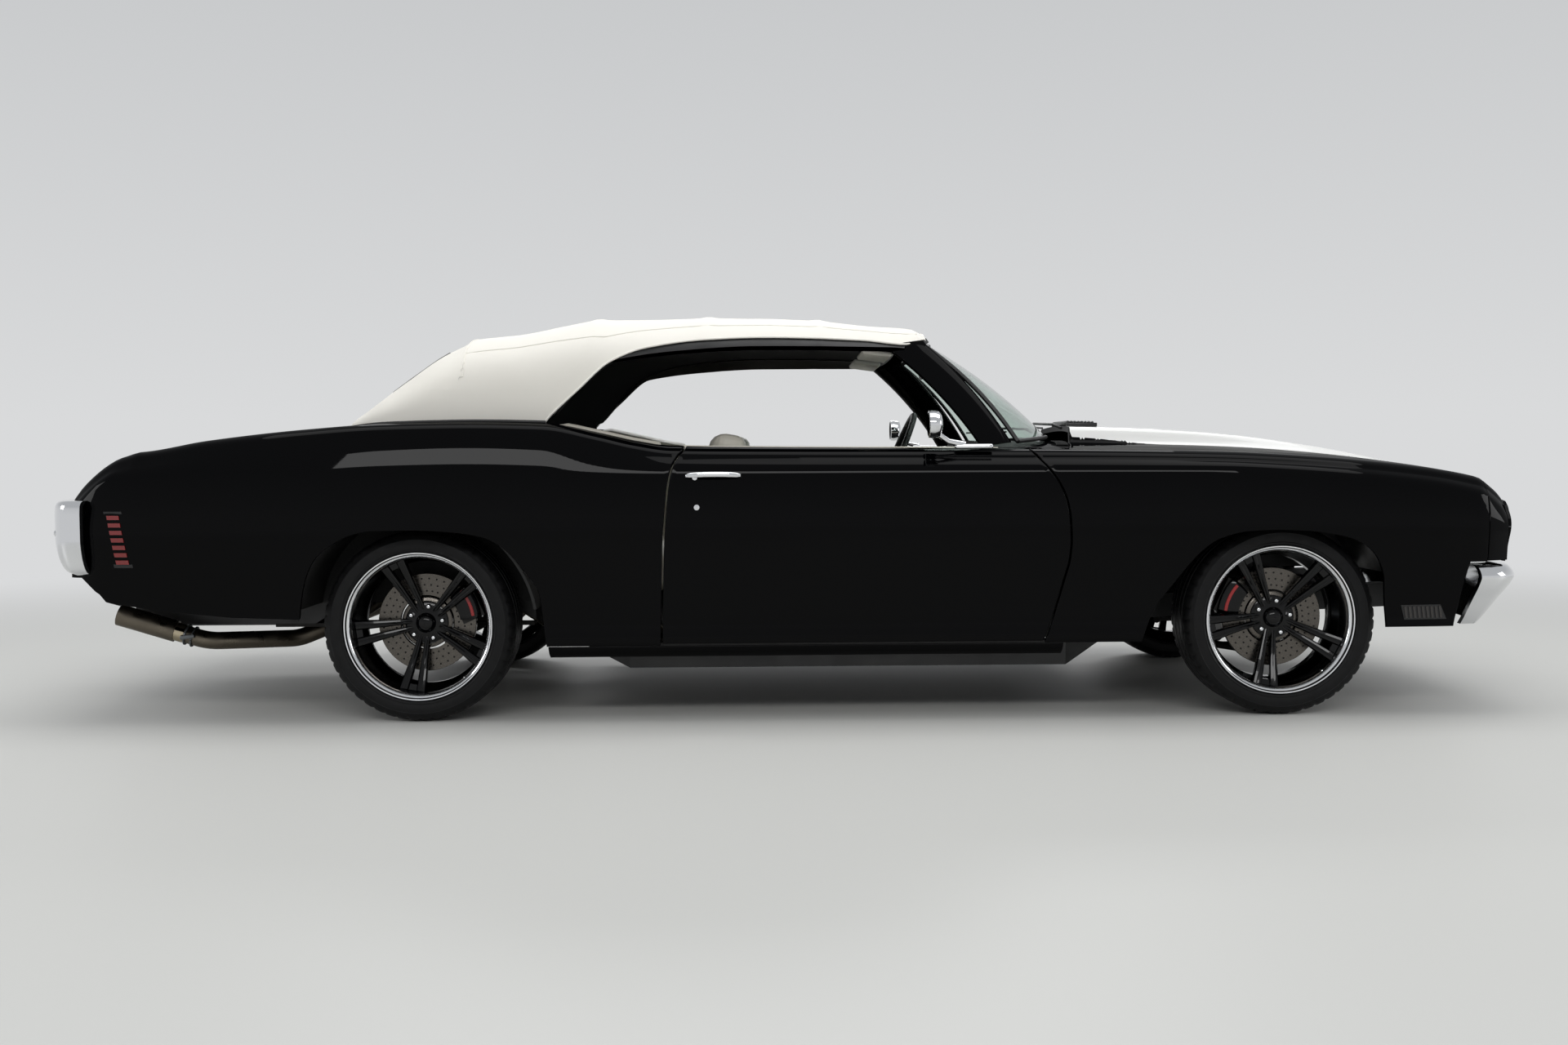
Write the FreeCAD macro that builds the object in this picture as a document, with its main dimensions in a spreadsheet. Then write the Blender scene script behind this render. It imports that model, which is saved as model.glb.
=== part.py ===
import FreeCAD
import Part
import math
import os
from types import SimpleNamespace
from FreeCAD import Placement, Rotation, Vector

# Two-door convertible muscle car with its fabric top up.
# Millimetres. +X points to the nose, +Y to the car's left, +Z up.
# The origin is on the ground, midway between the bumpers and on the centre plane.

SIZES = (
    # Whole car
    ("wheelbase", 2845),
    ("front_overhang", 885),
    ("rear_overhang", 1279),
    ("body_width", 1915),
    ("belt_height", 893),
    ("roof_height", 1372),
    # Panels
    ("panel_wall", 14),
    ("lid_wall", 24),
    ("shut_gap", 6),
    ("seat_gap", 0.3),
    ("bracket_half_width", 330),
    ("overrun", 60),
    ("sill_height", 212),
    ("bumper_sill_height", 505),
    ("tail_sill_height", 380),
    ("hinge_tab_length", 26),
    ("hinge_tab_width", 36),
    ("hood_hinge_half_width", 726),
    ("trunk_hinge_half_width", 560),
    # Doors
    ("door_wall", 185),
    ("door_lip", 120),
    ("door_step", 26),
    ("door_sill_height", 258),
    ("hinge_inset", 28),
    ("handle_length", 64),
    ("mirror_radius", 34),
    # Hood, trunk lid and cabin opening
    ("hood_half_width", 742),
    ("hood_dome_half_width", 345),
    ("hood_dome_height", 58),
    ("trunk_half_width", 650),
    ("cabin_half_width", 762),
    # Wheels and tyres
    ("wheel_height", 317),
    ("tyre_radius", 317),
    ("tyre_width", 244),
    ("rim_radius", 247),
    ("rim_width", 236),
    ("rim_wall", 7),
    ("wheel_half_track", 745),
    ("front_dish", 95),
    ("rear_dish", 132),
    ("hub_radius", 72),
    ("hub_wall", 34),
    ("hub_bore", 27),
    ("bore_clearance", 0.3),
    ("lug_circle_radius", 60),
    ("lug_hole_radius", 7),
    ("cap_radius", 33),
    ("spoke_width", 27),
    ("spoke_pitch", 56),
    ("spoke_depth", 30),
    ("disc_radius", 165),
    ("disc_wall", 24),
    ("disc_hat_radius", 82),
    ("caliper_wall", 26),
    ("caliper_gap", 6),
    # Running gear
    ("kingpin_half_track", 664),
    ("knuckle_radius", 26),
    ("ball_radius", 12),
    ("arm_wall", 26),
    ("spring_radius", 48),
    ("axle_tube_radius", 40),
    ("leaf_width", 50),
    ("leaf_depth", 12),
    ("engine_mount_half_width", 160),
    ("differential_radius", 115),
    ("shaft_radius", 38),
    ("rail_width", 62),
    ("rail_depth", 84),
    ("frame_half_width", 665),
    ("front_rail_half_width", 375),
    ("rear_rail_half_width", 500),
    ("frame_height", 196),
    ("exhaust_radius", 30),
    ("hanger_wall", 10),
    ("tip_radius", 37),
    ("muffler_radius", 60),
    ("exhaust_half_width", 245),
    ("tip_half_width", 640),
    ("tank_depth", 165),
    ("engine_length", 640),
    ("engine_width", 540),
    ("engine_height", 520),
    # Cabin
    ("floor_height", 262),
    ("floor_wall", 9),
    ("tunnel_half_width", 150),
    ("pillar_inner", 704),
    ("pillar_outer", 757),
    ("tunnel_height", 506),
    ("wheelhouse_radius", 392),
    ("wheelhouse_inner", 585),
    ("front_house_inner", 455),
    ("seat_width", 478),
    ("seat_centre", 410),
    ("cushion_height", 165),
    ("steering_radius", 190),
    ("steering_rim_radius", 12),
    # Fabric top
    ("top_wall", 18),
    ("top_half_width", 700),
    ("top_foot_height", 1000),
    ("glass_wall", 6),
)

doc = FreeCAD.newDocument("convertible")
sheet = doc.addObject("Spreadsheet::Sheet", "sizes")
for row, (alias, value) in enumerate(SIZES, 1):
    sheet.set("A%d" % row, alias)
    sheet.set("B%d" % row, str(value))
    sheet.setAlias("B%d" % row, alias)
doc.recompute()
s = SimpleNamespace(**{alias: float(sheet.get(alias)) for alias, value in SIZES})

# Places worked out from the sheet
half_length = (s.wheelbase + s.front_overhang + s.rear_overhang) / 2
half_width = s.body_width / 2
rear_axle = s.rear_overhang - half_length
front_axle = rear_axle + s.wheelbase
outside = half_width + s.overrun
above = s.roof_height + s.overrun
made = {}


def along(share):
    """X at a share of the wheelbase, counted forward from the rear axle."""
    return rear_axle + share * s.wheelbase


def high(share):
    """Z at a share of the belt height."""
    return share * s.belt_height


def wide(share):
    """Y at a share of the half width."""
    return share * half_width


def follow(line_shares, place):
    """Value at a place on a smooth line through a few (place, value) shares."""
    places = [p for p, v in line_shares]
    values = [v for p, v in line_shares]
    if place <= places[0]:
        return values[0]
    if place >= places[-1]:
        return values[-1]
    i = max(k for k, p in enumerate(places[:-1]) if p <= place)
    slopes = [(values[k + 1] - values[k]) / (places[k + 1] - places[k]) for k in range(len(places) - 1)]

    def tangent(k):
        if k == 0:
            return slopes[0]
        if k == len(slopes):
            return slopes[-1]
        if slopes[k - 1] * slopes[k] <= 0:
            return 0
        return 2 * slopes[k - 1] * slopes[k] / (slopes[k - 1] + slopes[k])

    step = places[i + 1] - places[i]
    f = (place - places[i]) / step
    return (
        values[i] * (2 * f**3 - 3 * f**2 + 1)
        + values[i + 1] * (3 * f**2 - 2 * f**3)
        + tangent(i) * step * (f**3 - 2 * f**2 + f)
        + tangent(i + 1) * step * (f**3 - f**2)
    )


def smooth_edge(points):
    """One smooth edge through the points."""
    curve = Part.BSplineCurve()
    curve.interpolate(points)
    return curve.toShape()


def line(a, b):
    return Part.LineSegment(a, b).toShape()


def loft(wires):
    return Part.makeLoft(wires, True)


def block(x0, x1, y0, y1, z0, z1):
    return Part.makeBox(x1 - x0, y1 - y0, z1 - z0, Vector(x0, y0, z0))


def side_prism(points, y0, y1):
    """A side-view polygon of (x, z) points, run from y0 to y1."""
    corners = [Vector(x, y0, z) for x, z in points]
    face = Part.Face(Part.makePolygon(corners + corners[:1]))
    return face.extrude(Vector(0, y1 - y0, 0))


def rod(start, end, radius):
    """A round bar from one point to another."""
    return Part.makeCylinder(radius, (end - start).Length, start, end - start)


def wheel_axis_cylinder(radius, x, z, y0, y1):
    return Part.makeCylinder(radius, y1 - y0, Vector(x, y0, z), Vector(0, 1, 0))


def bent_tube(points, radius, bend):
    """A round tube along straight runs joined by tangent arcs."""
    edges = []
    start = points[0]
    for before, corner, after in zip(points, points[1:], points[2:]):
        into = (corner - before).normalize()
        out = (after - corner).normalize()
        turn = into.getAngle(out)
        cut = min(bend * math.tan(turn / 2), (corner - before).Length * 0.45, (after - corner).Length * 0.45)
        first = corner - into * cut
        last = corner + out * cut
        inward = (out - into).normalize()
        middle = corner + inward * (cut * math.sin(turn / 2) / (1 + math.cos(turn / 2)))
        edges.append(line(start, first))
        edges.append(Part.Arc(first, middle, last).toShape())
        start = last
    edges.append(line(start, points[-1]))
    path = Part.Wire(edges)
    direction = points[1] - points[0]
    ring = Part.Wire(Part.makeCircle(radius, points[0], direction))
    pipe = Part.BRepOffsetAPI.MakePipeShell(path)
    pipe.add(ring)
    pipe.build()
    pipe.makeSolid()
    return pipe.shape()


def other_side(shape):
    """The same piece on the car's left."""
    return shape.mirror(Vector(0, 0, 0), Vector(0, 1, 0))


def both_sides(shape):
    return Part.makeCompound([shape, other_side(shape)])


def keep_largest(shape):
    """The main solid of a cut, without loose slivers."""
    return max(shape.Solids, key=lambda solid: solid.Volume)


def publish(name, shape):
    """Put a finished shape in the document under its own label."""
    feature = doc.addObject("Part::Feature", name)
    feature.Label = name
    feature.Shape = shape
    feature.Placement = Placement(Vector(0, 0, 0), Rotation())
    made[name] = feature
    return feature


# Body lines: (place, value). Places are shares of the half length from the middle of the car.
# Heights are shares of the belt height, widths are shares of the half width.
BELT_SHARES = (
    (-1.0, 0.985), (-0.85, 1.008), (-0.765, 1.047), (-0.633, 1.086), (-0.529, 1.104),
    (-0.433, 1.1075), (-0.322, 1.10), (-0.25, 1.06), (-0.202, 1.028), (-0.154, 1.008),
    (-0.01, 1.001), (0.32, 0.992), (0.57, 0.978), (0.65, 0.966), (0.75, 0.944),
    (0.845, 0.913), (0.90, 0.884), (1.0, 0.81),
)
CROWN_SHARES = (
    (-1.0, 0.99), (-0.85, 1.010), (-0.765, 1.040), (-0.633, 1.075), (-0.529, 1.095), (-0.32, 1.11),
    (-0.154, 1.06), (0.43, 1.02), (0.57, 1.008), (0.65, 0.998), (0.75, 0.975), (0.845, 0.94), (1.0, 0.85),
)
SHOULDER_SHARES = (
    (-1.0, 0.915), (-0.92, 0.94), (-0.85, 0.963), (-0.765, 0.979), (-0.633, 0.991), (-0.433, 1.0),
    (-0.154, 0.99), (0.15, 0.985), (0.43, 0.989), (0.65, 0.996), (0.75, 0.988), (0.845, 0.968),
    (0.90, 0.948), (1.0, 0.90),
)
CREASE_SHARES = (
    (-1.0, 0.89), (-0.85, 0.925), (-0.765, 0.94), (-0.433, 0.945), (-0.154, 0.93), (0.32, 0.926),
    (0.65, 0.918), (0.845, 0.87), (1.0, 0.765),
)
STATION_SHARES = (-1.0, -0.85, -0.70, -0.56, -0.433, -0.322, -0.25, -0.20, -0.15, 0.0, 0.2, 0.4, 0.6, 0.75, 0.88, 1.0)
# Ends of the body in side view, from the belt down: (place, height), drawn at the outer corners.
TAIL_SHARES = ((-0.845, 1.03), (-0.863, 1.001), (-0.881, 0.985), (-0.896, 0.963), (-0.916, 0.922), (-0.936, 0.871),
               (-0.947, 0.834), (-0.945, 0.80), (-0.936, 0.60), (-0.93, 0.50), (-0.92, 0.42))
NOSE_SHARES = ((0.889, 0.91), (0.90, 0.880), (0.916, 0.858), (0.928, 0.845), (0.941, 0.821), (0.949, 0.787),
               (0.948, 0.718), (0.944, 0.644), (0.940, 0.55), (0.935, 0.40))
TAIL_BOW_SHARE = 0.09
NOSE_BOW_SHARE = 0.095
BOW_FALL_SHARE = 1.32
BOW_REACH_SHARE = 0.75
CORNER_SHARE = 0.10
# Corners of the side below the crease: (inset from the shoulder, height).
TUMBLE_SHARE = 0.08
EDGE_ROUND_SHARE = 0.045
SIDE_SHARES = ((0.003, 0.66), (0.016, 0.592), (0.040, 0.443), (0.043, 0.363), (0.038, 0.30), (0.055, 0.262))
BOTTOM_SHARES = (0.10, 0.235)


def body_section(place, inset):
    """Closed cross-section of the body at a place along it, drawn in by an inset."""
    x = place * half_length
    belt = high(follow(BELT_SHARES, place)) - inset
    crown = high(follow(CROWN_SHARES, place)) - inset
    shoulder = wide(follow(SHOULDER_SHARES, place)) - inset
    crease = high(follow(CREASE_SHARES, place))
    low = high(BOTTOM_SHARES[1]) - (s.overrun if inset else 0)
    edge = shoulder - wide(TUMBLE_SHARE)
    swell = [shoulder - wide(0.022), shoulder, shoulder - wide(SIDE_SHARES[0][0])]
    swell_heights = [crease, (crease + high(SIDE_SHARES[0][1])) / 2, high(SIDE_SHARES[0][1])]
    lower = [(shoulder - wide(a), high(b)) for a, b in SIDE_SHARES[1:]]

    def half(sign):
        """The side from the top edge down, as edges, with its first and last corner."""
        def at(y, z):
            return Vector(x, sign * y, z)

        top_edge = at(edge - wide(EDGE_ROUND_SHARE), belt)
        corner = at(edge + wide(0.012), belt - high(0.018))
        bottom = at(shoulder - wide(BOTTOM_SHARES[0]), low)
        edges = [
            line(top_edge, corner),
            line(corner, at(swell[0], swell_heights[0])),
            smooth_edge([at(y, z) for y, z in zip(swell, swell_heights)]),
            line(at(swell[-1], swell_heights[-1]), at(*lower[0])),
            smooth_edge([at(*p) for p in lower[:4]]),
            line(at(*lower[3]), at(*lower[4])),
            line(at(*lower[4]), bottom),
        ]
        return edges, top_edge, bottom

    right, right_top, right_bottom = half(-1)
    left, left_top, left_bottom = half(1)
    top = Part.Arc(right_top, Vector(x, 0, crown), left_top).toShape()
    return Part.Wire([top] + left + [line(left_bottom, right_bottom)] + right[::-1])


def ends_section(y, inset):
    """Side-view envelope of the car's ends at a distance from the centre plane."""
    bulge = (1 - (y / half_width) ** 2 * BOW_FALL_SHARE) * BOW_REACH_SHARE
    tail = [Vector(a * half_length - TAIL_BOW_SHARE * half_width * bulge + inset, y, high(b) - inset)
            for a, b in TAIL_SHARES]
    nose = [Vector(a * half_length + NOSE_BOW_SHARE * half_width * bulge - inset, y, high(b) - inset)
            for a, b in NOSE_SHARES]
    roof_tail = Vector(tail[0].x, y, above)
    roof_nose = Vector(nose[0].x, y, above)
    floor_tail = Vector(tail[-1].x, y, -s.overrun * 2)
    floor_nose = Vector(nose[-1].x, y, -s.overrun * 2)
    return Part.Wire([
        smooth_edge(tail[::-1]), line(tail[0], roof_tail), line(roof_tail, roof_nose), line(roof_nose, nose[0]),
        smooth_edge(nose), line(nose[-1], floor_nose), line(floor_nose, floor_tail), line(floor_tail, tail[-1]),
    ])


def ends_solid(inset):
    """Everything between the car's tail and nose faces, bowed in plan, with rounded corners."""
    ends = loft([ends_section(share * outside, inset) for share in (-1, -0.5, 0, 0.5, 1)])
    corner = wide(CORNER_SHARE)
    x0 = TAIL_SHARES[7][0] * half_length + inset
    x1 = NOSE_SHARES[5][0] * half_length - inset
    y = wide(0.935) - inset
    plan = block(x0 - s.overrun, x1 + s.overrun, -outside, outside, -s.overrun, above)
    for sx, x in ((-1, x0), (1, x1)):
        for sy in (-1, 1):
            centre = Vector(x - sx * corner * 1.2, sy * (y - corner), -s.overrun)
            wedge = Part.makePolygon([
                Vector(x - sx * corner * 1.2, sy * outside, -s.overrun),
                Vector(x - sx * corner * 1.2, sy * y, -s.overrun),
                Vector(x - sx * corner * 0.35, sy * (y - corner * 0.35), -s.overrun),
                Vector(x + sx * corner * 0.1, sy * (y - corner * 1.2), -s.overrun),
                Vector(x + sx * outside, sy * (y - corner * 1.2), -s.overrun),
                Vector(x + sx * outside, sy * outside, -s.overrun),
                Vector(x - sx * corner * 1.2, sy * outside, -s.overrun),
            ])
            plan = plan.cut(Part.Face(wedge).extrude(Vector(0, 0, above * 2)))
    return ends.common(plan)


def body_solid(inset):
    """The body between its ends. Its underside runs below the sills where it is drawn in, so skins stay open."""
    return loft([body_section(place, inset) for place in STATION_SHARES]).common(ends_solid(inset))


body = body_solid(0)
body_inside = body_solid(s.panel_wall)
lid_inside = body_solid(s.lid_wall)
skin = body.cut(body_inside)


def moved(shape, x, z):
    """A copy of a shape, shifted in the car's side view."""
    copy = shape.copy()
    copy.translate(Vector(x, 0, z))
    return copy


body_raised = moved(body, 0, s.seat_gap)
under_skin = moved(body_inside, 0, -s.seat_gap)


# Outlines of the openings, in side view and in plan
DOOR_REAR_SHARES = ((0.324, 1.10), (0.311, 1.002), (0.300, 0.954), (0.294, 0.88), (0.288, 0.66), (0.284, 0.34))
DOOR_FRONT_SHARES = ((0.695, 1.06), (0.7097, 0.988), (0.7374, 0.875), (0.7497, 0.746), (0.7512, 0.647),
                     (0.7497, 0.588), (0.7374, 0.436), (0.725, 0.30))


def door_face(grow):
    """Side-view outline of the door, grown or drawn in by a distance along the car."""
    rear = [Vector(along(a) - grow, 0, high(b)) for a, b in DOOR_REAR_SHARES]
    front = [Vector(along(a) + grow, 0, high(b)) for a, b in DOOR_FRONT_SHARES]
    low_rear = Vector(rear[-1].x, 0, s.door_sill_height - grow)
    low_front = Vector(front[-1].x - high(0.02), 0, s.door_sill_height - grow)
    return Part.Face(Part.Wire([
        smooth_edge(rear), line(rear[-1], low_rear), line(low_rear, low_front),
        line(low_front, front[-1]), smooth_edge(front[::-1]), line(front[0], rear[0]),
    ]))


def door_prism(grow, inner, outer):
    """The door's outline run between two distances from the centre plane, on the right."""
    face = door_face(grow)
    face.translate(Vector(0, -outer, 0))
    return face.extrude(Vector(0, outer - inner, 0))


def arch_tool(axle_x, arch_shares, inner):
    """Cutter for a wheel opening in the right side, open below."""
    points = [Vector(axle_x + a * s.tyre_radius, -outside, s.wheel_height + b * s.tyre_radius) for a, b in arch_shares]
    floor_rear = Vector(points[0].x, -outside, 0)
    floor_front = Vector(points[-1].x, -outside, 0)
    wire = Part.Wire([
        smooth_edge(points), line(points[-1], floor_front), line(floor_front, floor_rear), line(floor_rear, points[0]),
    ])
    return Part.Face(wire).extrude(Vector(0, outside - inner, 0))


REAR_ARCH_SHARES = ((-1.24, -0.30), (-1.175, 0.25), (-1.10, 0.50), (-0.985, 0.718), (-0.815, 0.856), (-0.60, 0.963),
                    (-0.40, 1.0), (0.0, 1.006), (0.47, 0.978), (0.743, 0.925), (0.93, 0.82), (1.13, 0.59),
                    (1.28, 0.34), (1.335, -0.10), (1.35, -0.35))
FRONT_ARCH_SHARES = ((-1.56, -0.35), (-1.44, -0.10), (-1.33, 0.154), (-1.15, 0.40), (-0.985, 0.618), (-0.86, 0.752),
                     (-0.695, 0.862), (-0.42, 0.931), (-0.14, 0.943), (0.19, 0.930), (0.44, 0.897), (0.61, 0.859),
                     (0.746, 0.80), (0.868, 0.712), (0.953, 0.586), (1.006, 0.433), (1.025, 0.175), (1.044, -0.03),
                     (1.05, -0.35))
rear_arch = arch_tool(rear_axle, REAR_ARCH_SHARES, s.wheelhouse_inner)
front_arch = arch_tool(front_axle, FRONT_ARCH_SHARES, s.front_house_inner)

# Lower edge of the body in side view: rises behind the rear wheel and ahead of the front wheel
nose_seam = along(1.239)
bumper_front_seam = along(1.217)
low_tail = side_prism(
    [(-half_length - s.overrun, 0), (-half_length - s.overrun, high(0.545)), (along(-0.389), high(0.545)),
     (along(-0.373), high(0.494)), (along(-0.352), high(0.450)), (along(-0.299), high(0.424)),
     (along(-0.213), high(0.398)), (along(-0.132), high(0.391)), (along(-0.132), 0)],
    -outside, outside)
low_nose = side_prism(
    [(front_axle, 0), (front_axle, high(0.329)), (bumper_front_seam - high(0.06), high(0.329)),
     (bumper_front_seam, s.bumper_sill_height), (half_length + s.overrun, s.bumper_sill_height),
     (half_length + s.overrun, 0)],
    -outside, outside)
body_trim = low_tail.fuse(low_nose)


def plan_block(x0, x1, half, corner, z0, z1):
    """A plan-view rectangle with rounded corners, from z0 to z1."""
    solid = block(x0, x1, -half, half, z0, z1)
    uprights = [e for e in solid.Edges if abs(e.tangentAt(e.FirstParameter).z) > 0.5]
    return solid.makeFillet(corner, uprights)


hood_rear = along(0.765)
hood_rear_bow = along(0.792) - hood_rear
hood_front = along(1.258)
trunk_rear = along(-0.455)
trunk_front = along(-0.175)
cabin_rear = along(-0.085)
cabin_front = along(0.700)


def hood_plan(grow):
    """Plan outline of the hood: straight sides, bowed ends."""
    half = s.hood_half_width + grow
    x0 = hood_rear - grow
    x1 = hood_front + grow
    wire = Part.Wire([
        Part.Arc(Vector(x0, -half, 0), Vector(x0 + hood_rear_bow, 0, 0), Vector(x0, half, 0)).toShape(),
        line(Vector(x0, half, 0), Vector(x1 - high(0.06), half, 0)),
        Part.Arc(Vector(x1 - high(0.06), half, 0), Vector(x1, 0, 0), Vector(x1 - high(0.06), -half, 0)).toShape(),
        line(Vector(x1 - high(0.06), -half, 0), Vector(x0, -half, 0)),
    ])
    face = Part.Face(wire)
    face.translate(Vector(0, 0, high(0.70)))
    return face.extrude(Vector(0, 0, s.belt_height))


def trunk_tool(grow):
    return plan_block(trunk_rear - s.overrun, trunk_front + grow, s.trunk_half_width + grow, high(0.06), high(0.83), above)


cabin_tool = plan_block(cabin_rear, cabin_front, s.cabin_half_width, high(0.10), high(0.90), above)


def make_front_body():
    """Fenders, nose, hood and the cowl between them."""
    gap = s.shut_gap
    hood_cut = hood_plan(gap)
    door_cut = door_prism(gap, s.cabin_half_width - gap, outside)
    shell = skin.cut(body_trim).cut(hood_cut)
    rear_limit = along(0.66)
    side = shell.common(block(rear_limit, nose_seam, -outside, -s.hood_half_width + gap, 0, above))
    side = side.cut(door_cut).cut(front_arch)
    side = side.cut(block(rear_limit, along(0.80), -outside, -s.cabin_half_width + gap, 0, s.door_sill_height - gap))
    side = side.cut(block(rear_limit, along(0.699), -outside, 0, 0, above))
    fender = keep_largest(side)
    publish("fender_right", fender)
    publish("fender_left", other_side(fender))

    nose = shell.common(block(nose_seam + s.seat_gap, half_length, -outside, outside, s.bumper_sill_height, above))
    nose = keep_largest(nose)
    mouth = block(nose_seam, half_length, -wide(0.50), wide(0.50), high(0.60), high(0.765))
    nose = nose.cut(mouth)
    for y in (wide(0.585), wide(0.755)):
        hole = Part.makeCylinder(high(0.082), half_length, Vector(nose_seam, -y, high(0.683)), Vector(1, 0, 0))
        nose = nose.cut(hole).cut(other_side(hole))
    publish("nose_panel", nose)

    lid = body.cut(lid_inside).common(hood_plan(0))
    lid = keep_largest(lid)
    dome_rear = hood_rear + hood_rear_bow * 0.8
    dome_front = along(1.16)
    wires = []
    for place, width_share, rise_share in ((0.0, 1.0, 1.0), (0.3, 0.97, 0.95), (0.65, 0.90, 0.75), (1.0, 0.8, 0.1)):
        x = dome_rear + (dome_front - dome_rear) * place
        base = high(follow(CROWN_SHARES, x / half_length)) - s.lid_wall
        half = s.hood_dome_half_width * width_share
        rise = base + s.lid_wall + s.hood_dome_height * rise_share
        edge = rise - s.hood_dome_height * 0.35 * rise_share
        corners = [(-half, base), (-half * 0.93, edge), (-half * 0.85, rise - 0.15 * s.hood_dome_height * rise_share)]
        ring = [Vector(x, y, z) for y, z in corners]
        ring += [Vector(x, -y, z) for y, z in corners[::-1]]
        wires.append(Part.Wire([
            line(ring[0], ring[1]), line(ring[1], ring[2]),
            Part.Arc(ring[2], Vector(x, 0, rise), ring[3]).toShape(),
            line(ring[3], ring[4]), line(ring[4], ring[5]), line(ring[5], ring[0]),
        ]))
    tab = block(hood_rear - s.hinge_tab_length, hood_rear + s.hinge_tab_length * 2, -s.hood_hinge_half_width,
                -s.hood_hinge_half_width + s.hinge_tab_width, s.belt_height - s.lid_wall * 2, above)
    tab = tab.common(under_skin)
    tab = tab.cut(block(hood_rear - s.hinge_tab_length - s.overrun, hood_rear + gap, -outside, 0,
                        s.belt_height - s.lid_wall - gap / 2, above))
    dome = loft(wires).common(hood_plan(0))
    lid = keep_largest(lid.multiFuse([dome, tab, other_side(tab)]))
    publish("hood", lid)

    cowl = shell.common(block(along(0.665), hood_rear + hood_rear_bow + gap, -s.hood_half_width + gap,
                              s.hood_half_width - gap, high(0.80), above))
    return keep_largest(cowl)


def make_rear_body():
    """Quarter panels, deck panel, trunk lid and tail panel."""
    gap = s.shut_gap
    shell = skin.cut(body_trim).cut(cabin_tool)
    door_cut = door_prism(gap, s.cabin_half_width - gap, outside)
    side = shell.common(block(-half_length, along(0.33), -outside, -s.trunk_half_width - gap, 0, above))
    side = side.cut(door_cut).cut(rear_arch)
    side = side.cut(block(along(-0.1), along(0.34), -outside, 0, 0, s.door_sill_height - gap))
    quarter = keep_largest(side)
    publish("quarter_right", quarter)
    publish("quarter_left", other_side(quarter))

    inner = s.trunk_half_width + gap - s.seat_gap
    deck = shell.common(block(trunk_front + gap, cabin_rear, -inner, inner, high(0.90), above))
    publish("deck_panel", keep_largest(deck))

    lid = body.cut(lid_inside).common(trunk_tool(0))
    tab = block(trunk_front - s.hinge_tab_length * 2, trunk_front + gap + s.hinge_tab_length,
                -s.trunk_hinge_half_width, -s.trunk_hinge_half_width + s.hinge_tab_width,
                s.belt_height + s.lid_wall, above)
    tab = tab.common(under_skin)
    publish("trunk_lid", keep_largest(lid.multiFuse([tab, other_side(tab)])))

    tail = shell.common(block(-half_length, along(-0.40), -inner, inner, high(0.545), high(0.83) - gap))
    publish("tail_panel", keep_largest(tail))


def make_rockers():
    """Sill box below each door, joined to the tub."""
    top = s.door_sill_height - s.shut_gap
    sill = body.common(block(along(0.152), along(0.80), -outside, -wide(0.79), 0, top))
    sill = sill.cut(rear_arch).cut(front_arch)
    return keep_largest(sill)


MIRROR_OVAL_SHARE = 1.45
MIRROR_EDGE_SHARE = 0.25


def make_doors():
    outer = body.common(door_prism(0, half_width - s.door_lip, outside))
    inner = body.common(door_prism(-s.door_step, half_width - s.door_wall, half_width - s.door_lip))
    inner = inner.cut(block(-half_length, half_length, -outside, 0, high(0.985), above))
    door = keep_largest(outer.fuse(inner).removeSplitter())
    handle_x = along(0.348)
    handle_z = high(0.905)
    handle = block(handle_x - s.handle_length / 2, handle_x + s.handle_length * 1.5, -half_width * 1.01,
                   -half_width * 0.97, handle_z - s.handle_length * 0.2, handle_z)
    door = keep_largest(door.fuse(handle))
    publish("door_right", door)
    publish("door_left", other_side(door))

    depth = s.mirror_radius
    oval = Part.Wire(Part.Ellipse(Vector(-depth / 2, 0, 0), s.mirror_radius * MIRROR_OVAL_SHARE, s.mirror_radius).toShape())
    oval.rotate(Vector(0, 0, 0), Vector(0, 1, 0), 90)
    oval.rotate(Vector(0, 0, 0), Vector(1, 0, 0), 90)
    head = Part.Face(oval)
    head.translate(Vector(-head.BoundBox.XMin - depth / 2, 0, -head.BoundBox.Center.z))
    head = head.extrude(Vector(depth, 0, 0))
    head = head.makeChamfer(depth * MIRROR_EDGE_SHARE, head.Edges)
    foot = Vector(along(0.655), -wide(0.90), high(0.985) + s.seat_gap)
    centre = Vector(along(0.598), -wide(0.965), high(1.085))
    head.translate(centre)
    base = block(foot.x - s.mirror_radius, foot.x + s.mirror_radius, foot.y - s.mirror_radius * 0.3,
                 foot.y + s.mirror_radius * 0.3, foot.z, foot.z + s.mirror_radius * 0.4)
    stalk = rod(foot + Vector(0, 0, s.mirror_radius * 0.2), centre, s.mirror_radius * 0.22)
    mirror = head.fuse(stalk).fuse(base)
    publish("mirror_right", mirror)
    publish("mirror_left", other_side(mirror))


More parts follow.
